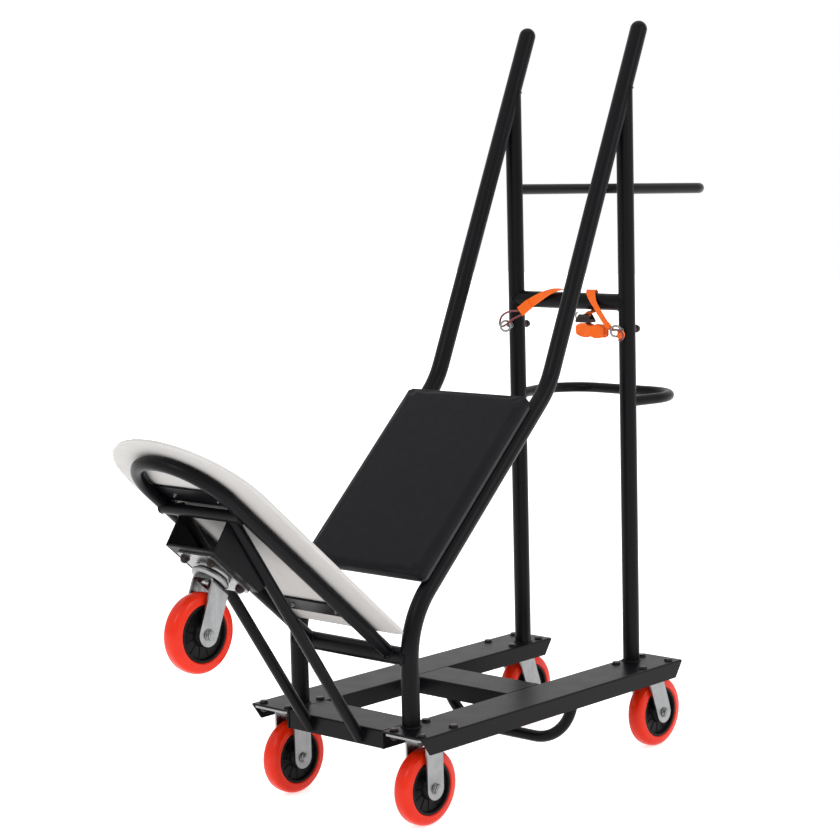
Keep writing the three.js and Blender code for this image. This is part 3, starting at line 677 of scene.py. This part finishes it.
for side, sign in sides:
    side_frame(side, sign * FRAME_HALF)
cross_tube("crossbar_mid", UPRIGHT_Y, CROSSBAR_Z, UPRIGHT_Y)
cross_tube("cross_tube_front", -4, 273, SIDE_Y)
handle_loops()
foot_loop()
cradle_tubes()
for side, sign in sides:
    strut(side, sign * STRUT_X)
beads.build("weld_beads", "powder_coat", "frame", angle=60)

# ---- flat steel: the CAD shapes with broken edges ----------------------------------------------------

weld = bpy.data.node_groups.new("weld_smooth", "GeometryNodeTree")
weld.interface.new_socket("Geometry", in_out="INPUT", socket_type="NodeSocketGeometry")
weld.interface.new_socket("Geometry", in_out="OUTPUT", socket_type="NodeSocketGeometry")
group_in = weld.nodes.new("NodeGroupInput")
group_out = weld.nodes.new("NodeGroupOutput")
merge = weld.nodes.new("GeometryNodeMergeByDistance")
merge.inputs["Distance"].default_value = 1e-5
weld.links.new(group_in.outputs[0], merge.inputs["Geometry"])
weld.links.new(merge.outputs["Geometry"], group_out.inputs[0])

KEPT = ["rail_left", "rail_right", "cross_channel_front", "cross_channel_rear", "cradle_mount_plate",
        "gusset_left", "gusset_right", "cradle_bar_lower", "cradle_bar_upper", "back_bar_lower",
        "back_bar_upper"]
for name in KEPT:
    node = nodes[name]
    node.data.materials.clear()
    node.data.materials.append(MATERIALS[slot_of_node[name]])
    joined = node.modifiers.new("weld", "NODES")
    joined.node_group = weld
    add_bevel(node, 0.0009, 3)

# ---- casters: local z = 0 is the face they bolt to ---------------------------------------------------

AXLE_Z = 63.5 - CASTER_TOP
FORK_IN = 20.3
FORK_T = 3.5
LEG_HALF = 19


def fork_strip(trail, top_centre, top_z, bend):
    """The pressed fork as one bent strip: up one leg, round a bend, across the crown and down again."""
    slope = math.atan2(trail - top_centre, top_z - AXLE_Z)
    tilt = math.degrees(slope)
    reach = LEG_HALF / math.cos(slope)
    outline = [(top_centre - reach, top_z)] + arc(trail, AXLE_Z, LEG_HALF, 180 + tilt, 360 + tilt, 40)
    outline.append((top_centre + reach, top_z))

    def extent(z):
        crossings = []
        for (y0, z0), (y1, z1) in zip(outline, outline[1:]):
            if min(z0, z1) <= z <= max(z0, z1) and abs(z1 - z0) > 1e-9:
                crossings.append(y0 + (y1 - y0) * (z - z0) / (z1 - z0))
        return (min(crossings), max(crossings)) if crossings else (trail, trail)

    bottom = AXLE_Z - LEG_HALF + 0.02
    heights = [bottom + LEG_HALF * (1 - math.cos(math.pi / 2 * k / 14)) for k in range(15)]
    heights += [AXLE_Z + (top_z - bend - AXLE_Z) * k / 8 for k in range(1, 9)]
    half = FORK_IN + FORK_T
    stations = []
    for z in heights:
        stations.append((half, z, 1.0, 0.0, *extent(z)))
    for k in range(1, 9):
        turn = math.pi / 2 * k / 8
        x = half - bend + bend * math.cos(turn)
        z = top_z - bend + bend * math.sin(turn)
        stations.append((x, z, math.cos(turn), math.sin(turn), *extent(min(top_z, z))))
    stations += [(-x, z, -nx, nz, a, b) for x, z, nx, nz, a, b in reversed(stations)]
    verts = []
    columns = 8
    for depth in (0.0, FORK_T):
        for x, z, nx, nz, low, high in stations:
            for c in range(columns + 1):
                y = low + (high - low) * c / columns
                verts.append(Vector((x - nx * depth, y, z - nz * depth)) * MM)
    rows = len(stations)
    width = columns + 1
    faces = []
    inner = rows * width
    for r in range(rows - 1):
        for c in range(columns):
            a = r * width + c
            faces.append((a, a + 1, a + width + 1, a + width))
            faces.append((inner + a, inner + a + width, inner + a + width + 1, inner + a + 1))
        for c in (0, columns):
            a = r * width + c
            faces.append((a, a + width, inner + a + width, inner + a))
    for r in (0, rows - 1):
        for c in range(columns):
            a = r * width + c
            faces.append((a, a + 1, inner + a + 1, inner + a))
    return verts, faces


def wheel(prefix, matrix, body):
    """matrix puts the wheel's axle along local Z, with Z towards the bolt's nut."""
    profile = [(0, 63.5), (5, 63.35), (8.6, 62.6), (11.4, 61.0), (13.6, 58.6), (14.8, 55.6), (15.3, 52.5),
               (15.5, 50.4), (15.9, 49.6), (16, 47.6), (15.7, 46.4), (14.8, 45.6), (13.6, 45.1)]
    tyre = [(-z, r) for z, r in reversed(profile)][:-1] + profile
    skin = Shape().add(*lathe(tyre, 96), matrix)
    skin.build(f"{prefix}_tyre_skin", "tread", body, [f"{prefix}_tyre"], angle=50)
    core = Shape()
    half = [(14.2, 45.0), (15.0, 44.5), (15.0, 41.4), (13.6, 40.4), (8.4, 39.4), (7.6, 37.8), (7.4, 22.4),
            (8.6, 20.4), (18.8, 17.6), (19.6, 16.8), (19.6, 6.4)]
    core.add(*lathe([(-z, r) for z, r in half] + list(reversed(half)), 72), matrix)
    for face in (-1, 1):
        for k in range(12):
            turn = Matrix.Rotation(2 * math.pi * k / 12, 4, "Z")
            low, high = (7.0, 8.8) if face > 0 else (-8.8, -7.0)
            core.add(*box(18.5, 40.0, -1.4, 1.4, low, high), matrix @ turn)
    core.build(f"{prefix}_hub_core", "hub", body, [f"{prefix}_hub"], angle=35, bevel=0.0005)


def axle(prefix, matrix, body):
    shape = Shape()
    outer = FORK_IN + FORK_T + 0.3
    shape.add(*lathe([(-outer - 6, 6), (outer + 2, 6), (outer + 2, 0.001), (-outer - 6, 0.001)], 32), matrix)
    disc(shape, matrix, outer, outer + 1.6, 9.6, 5.0)
    nyloc(shape, matrix, outer - 0.8, 15.0)
    flip = matrix @ Matrix.Rotation(math.pi, 4, "X")
    hexagon(shape, flip, outer, outer + 5.6, 15.5, dome=0.6)
    for face in (-1, 1):
        low, high = sorted((face * 19.7, face * FORK_IN))
        disc(shape, matrix, low - 0.001, high, 9.0, 5.9, 0.1)
    shape.build(f"{prefix}_axle_bolt", "zinc", body, [f"{prefix}_axle"], angle=35)


def bolt_set(prefix, matrix, grip):
    """Black flange bolts: heads above the steel, nuts under the caster's plate."""
    shape = Shape()
    for bx in (-30, 30):
        for by in (-38, 38):
            spot = matrix @ Matrix.Translation((bx * MM, by * MM, 0))
            disc(shape, spot, grip + 0.1, grip + 1.5, 8.1, 0.0, 0.6)
            hexagon(shape, spot, grip + 0.8, grip + 4.0, 12.4, turn=0.3 * bx + 0.1 * by)
            below = spot @ Matrix.Rotation(math.pi, 4, "X")
            disc(shape, below, 3.9, 5.2, 8.1, 0.0, 0.5)
            nyloc(shape, below @ Matrix.Translation((0, 0, -2.4 * MM)), 4.6 + 2.4, 12.6, turn=0.2 * bx)
    shape.build(f"{prefix}_bolts", "buckle_steel", "frame", angle=35)


def caster(prefix, matrix, grip, swivels):
    bolt_set(prefix, matrix, grip)
    plate = Shape()
    plate.add(*prism(rounded(40, 52.5, 8), -3.8, -0.3), matrix)
    trail = 33 if swivels else 0
    axle_at = matrix @ Matrix.Translation((0, trail * MM, AXLE_Z * MM)) @ Matrix.Rotation(math.pi / 2, 4, "Y")
    if swivels:
        plate.add(*lathe([(-3.4, 30.5), (-4.6, 30.3), (-6.6, 29.2), (-8.4, 26.6), (-8.6, 24.5), (-8.4, 7.0),
                          (-26.0, 7.0), (-26.0, 0), (-3.0, 0), (-3.2, 0)], 72), matrix)
        disc(plate, matrix, -28.4, -27.0, 6.4, 0.0, 0.5)
        hexagon(plate, matrix, -28.2, -22.8, 18.5)
        plate.build(f"{prefix}_plate_zinc", "zinc", "frame", [f"{prefix}_plate"], angle=35, bevel=0.0005)
        yoke = Shape()
        yoke.add(*fork_strip(trail, 6.5, -17.6, 7.0), matrix)
        race = [(-9.2, 22.2), (-9.0, 25.6), (-9.6, 29.4), (-11.6, 31.6), (-14.2, 31.8), (-16.4, 30.2),
                (-18.2, 28.6), (-18.2, 8.2), (-16.6, 8.2), (-16.6, 22.2)]
        yoke.add(*lathe(race, 72), matrix)
        swivel = f"{prefix}_swivel"
        yoke.build(f"{prefix}_yoke_zinc", "zinc", swivel, [f"{prefix}_yoke"], angle=35, bevel=0.0004)
        axle(prefix, axle_at, swivel)
    else:
        plate.add(*fork_strip(0, 0, -3.9, 6.0), matrix)
        plate.build(f"{prefix}_fork_zinc", "zinc", "frame", [f"{prefix}_fork"], angle=35, bevel=0.0005)
        axle(prefix, axle_at, "frame")
    wheel(prefix, axle_at, f"{prefix}_wheel")


for side, sign in sides:
    caster(f"front_{side}", Matrix.Translation(at(sign * TRACK, 0, CASTER_TOP)), 3, False)
    caster(f"rear_{side}", Matrix.Translation(at(sign * TRACK, UPRIGHT_Y, CASTER_TOP)), 3, True)
cradle_axes = (SHIFT @ CRADLE).to_3x3().to_4x4()
caster("cradle", Matrix.Translation(in_cradle(0, -327.6, -63.4)) @ cradle_axes, 4, True)

# ---- pads: boards with their screws, and cushions blown up by a cloth simulation ----------------------


def tombstone(inset, steps=64):
    """The cradle pad's outline: half an ellipse in front, square corners behind."""
    half = 152 - inset
    rear = -42 - inset
    centre = -568.5 + 132
    points = [(x * half, centre + y * (132 - inset)) for x, y in arc(0, 0, 1, 180, 360, steps)]
    return points + arc(half - 14, rear - 14, 14, 0, 90, 8) + arc(14 - half, rear - 14, 14, 90, 180, 8)


def board_piece(name, outline, low, high, place, slot, bolts, bar_low, size):
    shape = Shape().add(*prism(outline, low, high), place)
    shape.build(f"{name}_panel", slot, "frame", [name], angle=35, bevel=0.0011, segments=3)
    screws = Shape()
    for bx, by in bolts:
        spot = place @ Matrix.Translation((bx * MM, by * MM, bar_low * MM)) @ Matrix.Rotation(math.pi, 4, "X")
        disc(screws, spot, 0.05, 1.1, 6.6 * size, 0.0, 0.3)
        hexagon(screws, spot, 0.9, 4.6 * size, 9.8 * size, turn=bx)
        disc(screws, spot, 0.5, 8.3 * size, 2.9 * size, 0.0, 0.5, 20)
    screws.build(f"{name}_screws", "zinc", "frame", angle=35)


CLOTH_FRAMES = 20
SIDE_SWELL = 0.0012


def even_block(name, outline, low, high, cell, passes):
    """A flat block remeshed into even cells, stretched meanwhile so that a thin one keeps its sides."""
    stretch = max(1.0, 16.0 / (high - low))
    verts, faces = prism(outline, 0, (high - low) * stretch)
    mesh = bpy.data.meshes.new(name)
    mesh.from_pydata([tuple(v) for v in verts], [], faces)
    obj = bpy.data.objects.new(name, mesh)
    scene.collection.objects.link(obj)
    remesh = obj.modifiers.new("cells", "REMESH")
    remesh.mode = "VOXEL"
    remesh.voxel_size = cell * MM
    settle = obj.modifiers.new("settle", "SMOOTH")
    settle.factor = 0.5
    settle.iterations = passes
    bpy.context.view_layer.update()
    even = bpy.data.meshes.new_from_object(obj.evaluated_get(bpy.context.evaluated_depsgraph_get()))
    obj.modifiers.clear()
    obj.data = even
    for v in even.vertices:
        v.co.z = v.co.z / stretch + low * MM
    return obj


def blow_up(obj, held_below, cap):
    """Inflates a block as cloth under pressure, with its base held still and its swelling capped."""
    rest = [v.co.copy() for v in obj.data.vertices]
    pinned = obj.vertex_groups.new(name="held")
    pinned.add([i for i, p in enumerate(rest) if p.z < held_below], 1.0, "ADD")
    cloth = obj.modifiers.new("cloth", "CLOTH")
    cloth.settings.quality = 4
    cloth.settings.mass = 0.3
    cloth.settings.tension_stiffness = 12
    cloth.settings.compression_stiffness = 12
    cloth.settings.shear_stiffness = 6
    cloth.settings.bending_stiffness = 0.4
    cloth.settings.use_pressure = True
    cloth.settings.uniform_pressure_force = 4
    cloth.settings.effector_weights.gravity = 0
    cloth.settings.vertex_group_mass = "held"
    cloth.point_cache.frame_start = 1
    cloth.point_cache.frame_end = CLOTH_FRAMES
    for number in range(1, CLOTH_FRAMES + 1):
        scene.frame_set(number)
    evaluated = obj.evaluated_get(bpy.context.evaluated_depsgraph_get())
    moved = [v.co.copy() for v in evaluated.to_mesh().vertices]
    evaluated.to_mesh_clear()
    obj.modifiers.clear()
    scene.frame_set(1)
    for vertex, before, after in zip(obj.data.vertices, rest, moved):
        step = after - before
        side = Vector((step.x, step.y, 0))
        if side.length > SIDE_SWELL:
            side *= SIDE_SWELL / side.length
        rise = max(-0.0006, min(step.z, cap))
        vertex.co = before + Vector((side.x, side.y, rise))
    obj.vertex_groups.clear()


def cushion(name, outline, low, high, place, slot, cap, cell, passes):
    """A padded piece between two heights, swelling by up to cap. Lengths in millimetres."""
    obj = even_block(name, outline, low, high, cell, passes)
    blow_up(obj, (low + (high - low) * 0.22) * MM, cap * MM)
    obj.data.transform(place)
    obj.data.materials.append(MATERIALS[slot])
    obj.data.shade_smooth()
    subdivide = obj.modifiers.new("finer", "SUBSURF")
    subdivide.levels = 1
    subdivide.render_levels = 1
    obj.name = f"{name}_pad"
    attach(obj, "frame")
    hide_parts(name)


CRADLE_BAR_Y = (-103.5, -427)
BACK_BAR_Y = (20, 230)
BACK_MIDDLE = 130.5
cradle_place = SHIFT @ CRADLE
cradle_bolts = [(x, y) for x in (-50, 50) for y in CRADLE_BAR_Y]
board_piece("cradle_board", tombstone(3), 11.5, 14.7, cradle_place, "board_white", cradle_bolts, 7.0, 0.6)
cushion("cradle_cushion", tombstone(-1.4), 12.3, 20.0, cradle_place, "vinyl_white", 2.2, 4.5, 3)
back_place = SHIFT @ BACK @ Matrix.Translation((0, BACK_MIDDLE * MM, 0))
back_bolts = [(x, y - BACK_MIDDLE) for x in (-60, 60) for y in BACK_BAR_Y]
board_outline = rounded(133.5, 189, 10)
board_piece("back_board", board_outline, 15.3, 23.3, back_place, "board_black", back_bolts, 10.8, 1.0)
cushion("back_cushion", rounded(138, 193.5, 12), 23.6, 38.4, back_place, "vinyl_black", 2.6, 4.0, 1)

# ---- eye bolts, lashing strap, buckle and hooks -------------------------------------------------------

EYE = (550, 758.6)
HANG_Y = 569


def smooth_path(points, per=8):
    """Points in millimetres joined by a smooth curve, in metres."""
    points = [at(*p) for p in points]
    padded = [points[0] * 2 - points[1]] + points + [points[-1] * 2 - points[-2]]
    result = []
    for a, b, c, d in zip(padded, padded[1:], padded[2:], padded[3:]):
        for k in range(per):
            t = k / per
            result.append(0.5 * ((2 * b) + (c - a) * t + (2 * a - 5 * b + 4 * c - d) * t * t
                                 + (3 * b - a - 3 * c + d) * t ** 3))
    result.append(points[-1])
    return result


def ribbon(shape, points, normals, widths, thickness=1.4, start=0.0):
    """A woven band: points and outward normals in metres, widths in millimetres."""
    across = [-0.5, -0.3, -0.1, 0.1, 0.3, 0.5]
    loop = [(u, 0.5) for u in across] + [(u, -0.5) for u in reversed(across)]
    verts = []
    uvs = []
    run = start
    count = len(points)
    for i, point in enumerate(points):
        tangent = (points[min(i + 1, count - 1)] - points[max(i - 1, 0)]).normalized()
        if i:
            run += (point - points[i - 1]).length / MM
        normal = (normals[i] - tangent * normals[i].dot(tangent)).normalized()
        side = tangent.cross(normal)
        for u, t in loop:
            verts.append(point + side * u * widths[i] * MM + normal * t * thickness * MM)
            uvs.append((u * widths[i], run))
    size = len(loop)
    faces = []
    for i in range(count - 1):
        for k in range(size):
            j = (k + 1) % size
            faces.append((i * size + k, i * size + j, (i + 1) * size + j, (i + 1) * size + k))
    faces.append(tuple(range(size - 1, -1, -1)))
    faces.append(tuple((count - 1) * size + k for k in range(size)))
    shape.add(verts, faces, None, uvs)


def between(stations, t):
    """The value at t on a line through (t, value) stations."""
    for (t0, v0), (t1, v1) in zip(stations, stations[1:]):
        if t <= t1:
            return v0 + (v1 - v0) * (t - t0) / (t1 - t0)
    return stations[-1][1]


def along(stations, count):
    """The value of the stations at each of count even steps."""
    return [between(stations, k / (count - 1)) for k in range(count)]


def away_from_bar(points):
    """Outward normals for webbing that lies over the cross bar."""
    axis = at(0, UPRIGHT_Y, CROSSBAR_Z)
    return [Vector((0, p.y - axis.y, max(p.z - axis.z, -0.004))).normalized() for p in points]


def eye_bolt(side, x):
    """The ring faces half forward; the bolt runs back through the upright to black nuts."""
    ring_points = []
    for k in range(48):
        turn = 2 * math.pi * k / 48
        outward = Vector((0.5 * math.cos(turn), 0.87 * math.cos(turn), math.sin(turn)))
        ring_points.append(at(x, *EYE) + outward * 0.0095)
    bolt_frame = facing(at(x, UPRIGHT_Y, EYE[1]), Y)
    bolt = Shape().add(*sweep(ring_points, 0.0020, 14, closed=True))
    disc(bolt, bolt_frame, -26.0, 34.5, 3.3, 0.0, 0.4, 24)
    disc(bolt, bolt_frame, -17.0, -15.4, 5.0, 0.0, 0.3)
    bolt.build(f"eye_bolt_{side}_ring", "zinc", "frame", [f"eye_bolt_{side}"], angle=40)
    nut = Shape()
    disc(nut, bolt_frame, 15.3, 17.2, 7.2, 0.0, 0.3)
    disc(nut, bolt_frame, 17.0, 25.6, 5.0, 0.0, 0.4)
    nyloc(nut, bolt_frame, 24.9, 12.6)
    nut.build(f"eye_bolt_{side}_nut", "buckle_steel", "frame", angle=40)


def strap_main():
    """Webbing from the left hook, over the cross bar, behind it and over again, to the right hook."""
    points = smooth_path([
        (-92, 558.5, 790.5), (-76, 561.5, 802), (-56, 564.5, 813), (-37, 567.5, 822), (-26, 574, 826),
        (-18, 583, 827), (-11, 594, 824), (-3, 602, 814), (8, 604, 805), (22, 604, 806), (34, 602, 814),
        (43, 594, 824), (49, 583, 827.5), (54, 574, 824), (62, 567.5, 815), (70, 563.5, 805),
        (79, 561.5, 794), (90, 560, 781), (101, 557.5, 770),
    ])
    widths = ((0, 17), (0.12, 16), (0.22, 13), (0.34, 15), (0.42, 19), (0.62, 20), (0.72, 17), (0.84, 12),
              (1, 11))
    web = Shape()
    ribbon(web, points, away_from_bar(points), along(widths, len(points)))
    tail = smooth_path([(100, 557.8, 771), (106, 557, 766), (113, 556.5, 761.5), (119, 556.5, 758)])
    last = len(tail) - 1
    flat = away_from_bar(tail)[0]
    turned = Vector((0.5, 0.1, 0.6)).normalized()
    twist = [flat.slerp(turned, k / last) for k in range(last + 1)]
    ribbon(web, tail, twist, along(((0, 11), (1, 8)), len(tail)), start=150)
    web.build("strap_main_web", "webbing", "frame", ["strap_main"], angle=50)


def strap_sewn_end():
    points = smooth_path([(-98, 557.2, 785.4), (-92, 557.4, 789.6), (-84, 558.8, 795.6), (-77, 560.0, 800.6)])
    web = Shape()
    ribbon(web, points, away_from_bar(points), [18.5] * len(points), 2.6)
    web.build("strap_sewn_end", "webbing", "frame", angle=50)


def strap_drop():
    """Webbing from behind the cross bar, under it and down to the buckle."""
    points = smooth_path([(46, 601, 797), (46, 597, 789.4), (46, 588, 788), (45.5, 579, 786), (45, 573, 778)])
    behind = Vector((0, 1, -0.9)).normalized()
    below = Vector((0, 0.5, -1)).normalized()
    normals = [behind] * 8 + [below] * (len(points) - 8)
    web = Shape()
    ribbon(web, points, normals, along(((0, 20), (0.5, 18), (1, 13)), len(points)))
    web.build("strap_drop_web", "webbing", "frame", ["strap_drop"], angle=50)


def strap_bundle():
    """The loose end, folded flat eight times and wrapped at its waist."""
    lumps = ((0, 13), (0.05, 19), (0.14, 23.5), (0.30, 25), (0.42, 20), (0.50, 16.5), (0.58, 19), (0.70, 24),
             (0.86, 23), (0.95, 18), (1, 12))
    web = Shape()
    for layer in range(8):
        first = 29.5 + 1.5 * math.sin(2.1 * layer)
        last = 89.5 + 1.5 * math.cos(1.7 * layer)
        fold = []
        for k in range(41):
            t = k / 40
            sway = 0.9 * math.sin(2 * math.pi * t * 1.5 + layer) + 0.5 * math.sin(9 * t + 2 * layer)
            lift = 0.8 * math.sin(2 * math.pi * t + 0.8 * layer) - 1.5 * t
            fold.append(at(first + (last - first) * t, HANG_Y + 2.35 * (layer - 3.5) + sway, 756.5 + lift))
        ribbon(web, fold, [-Y] * 41, along(lumps, 41), 2.1, start=70 * layer)
    wrap = []
    outward = []
    for k in range(37):
        turn = 2 * math.pi * k / 36
        y = 10.9 * math.copysign(abs(math.cos(turn)) ** 0.6, math.cos(turn))
        z = 9.6 * math.copysign(abs(math.sin(turn)) ** 0.7, math.sin(turn))
        wrap.append(at(59.5, HANG_Y + y, 755.6 + z))
        outward.append(Vector((0, math.cos(turn), math.sin(turn))))
    ribbon(web, wrap, outward, [8.5] * 37, 1.3, start=300)
    web.build("strap_bundle_web", "webbing", "frame", ["strap_bundle"], angle=50)


def strap_knot():
    """Four turns of webbing, one inside the other, in the right ring."""
    web = Shape()
    for winding in range(4):
        radius = 7.0 - 1.5 * winding
        points = []
        normals = []
        for k in range(33):
            turn = 2 * math.pi * k / 32
            points.append(at(134.2, 556.3 + radius * math.cos(turn), 751.6 + radius * math.sin(turn)))
            normals.append(Vector((0, math.cos(turn), math.sin(turn))))
        ribbon(web, points, normals, [5.6 + 0.5 * winding] * 33, 1.4, start=17 * winding)
    web.build("strap_knot_web", "webbing", "frame", ["strap_knot"], angle=50)


def cam_buckle():
    """Two trapezoid side plates, end walls and a ribbed lever, with a pin and a wire clip."""
    place = Matrix.Translation(at(45, HANG_Y, 777))
    standing = place @ Matrix.Rotation(math.pi / 2, 4, "X")
    case = [(-16.5, -7), (16.5, -7), (17, -3), (10.5, 6.5), (8, 8), (-8, 8), (-10.5, 6.5), (-17, -3)]
    body = Shape()
    body.add(*prism(case, 6.4, 8.4), standing)
    body.add(*prism(case, -8.4, -6.4), standing)
    for low in (-16.4, 14.6):
        body.add(*box(low, low + 1.8, -6.6, 6.6, -6.8, -1.0), place)
    lever = [(-5.58, -5.8), (3.72, -5.8), (4.96, -2), (4.34, 2.5), (1.86, 5.2), (-3.1, 5.2), (-4.96, 2)]
    across = Matrix.Rotation(math.pi / 2, 4, "Y") @ Matrix.Rotation(math.pi / 2, 4, "Z")
    body.add(*prism(lever, -9.5, 9.5), place @ across)
    for k in range(4):
        z = -4.4 + 1.9 * k
        body.add(*box(-11, 11, -9.1, -8.2, z, z + 0.8), place)
    body.build("cam_buckle_body", "buckle_steel", "frame", ["cam_buckle"], angle=35, bevel=0.0004)
    pins = Shape()
    disc(pins, facing(at(45, HANG_Y, 772.8), X), -17.6, 17.6, 2.0, 0.0, 0.6, 24)
    clip = []
    for k in range(17):
        turn = math.pi * k / 16
        clip.append(at(29.5 - 4.2 * math.sin(turn), 566, 781 + 6.4 * math.cos(turn)))
    pins.add(*sweep(clip, 0.0013, 12, dome=True))
    pins.build("cam_buckle_pins", "zinc", "frame", angle=40)


def hook(name, points):
    wire = Shape().add(*sweep(smooth_path(points, 10), 0.0019, 14, dome=True))
    wire.build(f"{name}_wire", "dipped_wire", "frame", [name], angle=50)


for side, sign in sides:
    eye_bolt(side, sign * FRAME_HALF)
strap_main()
strap_sewn_end()
strap_drop()
strap_bundle()
strap_knot()
cam_buckle()
hook("hook_left", [(-99, 557, 787.5), (-122, 555, 785), (-137, 552, 777), (-141.5, 550, 764),
                   (-138, 550, 757.5), (-127.6, 550.3, 760.5), (-114, 553.5, 770.5), (-97, 557, 779)])
hook("hook_right", [(110, 556.5, 762.5), (118, 554, 760), (127.6, 550.5, 760.8), (139, 549.5, 759.5),
                    (144, 550, 752), (141, 550.5, 744.5), (134, 551, 742.5)])

# ---- floor, world and lights --------------------------------------------------------------------------

FLOOR_REACH = 12
FLOOR_Z = -0.0005
floor_mesh = bpy.data.meshes.new("floor")
corners = [(x * FLOOR_REACH, y * FLOOR_REACH, FLOOR_Z) for x, y in ((-1, -1), (1, -1), (1, 1), (-1, 1))]
floor_mesh.from_pydata(corners, [], [(0, 1, 2, 3)])
floor = bpy.data.objects.new("floor", floor_mesh)
scene.collection.objects.link(floor)
pale = Nodes("floor_pale")
pale.color(pale.noise(2, 2), (0.975, 0.975, 0.972), (0.985, 0.985, 0.982))
pale.set(Roughness=0.8, Emission_Color=(1, 1, 1, 1), Emission_Strength=0.6)
floor_mesh.materials.append(pale.material)

world = bpy.data.worlds.new("studio")
world.use_nodes = True
scene.world = world
world.node_tree.nodes["Background"].inputs["Color"].default_value = (1, 1, 1, 1)
world.node_tree.nodes["Background"].inputs["Strength"].default_value = 1.0


def softbox(name, place, target, size, power):
    data = bpy.data.lights.new(name, "AREA")
    data.shape = "RECTANGLE"
    data.size, data.size_y = size
    data.energy = power
    lamp = bpy.data.objects.new(name, data)
    scene.collection.objects.link(lamp)
    lamp.location = place
    lamp.rotation_euler = (Vector(target) - Vector(place)).to_track_quat("-Z", "Y").to_euler()


softbox("key", (0.2, -3.2, 3.0), (0, 0, 0.5), (1.4, 1.4), 26)
softbox("side", (3.2, 0.6, 2.2), (0, 0, 0.6), (0.8, 2.2), 20)
softbox("top", (0, 0.2, 3.4), (0, 0, 0.3), (2.6, 2.6), 14)

scene.view_settings.view_transform = "Standard"
scene.view_settings.look = "None"
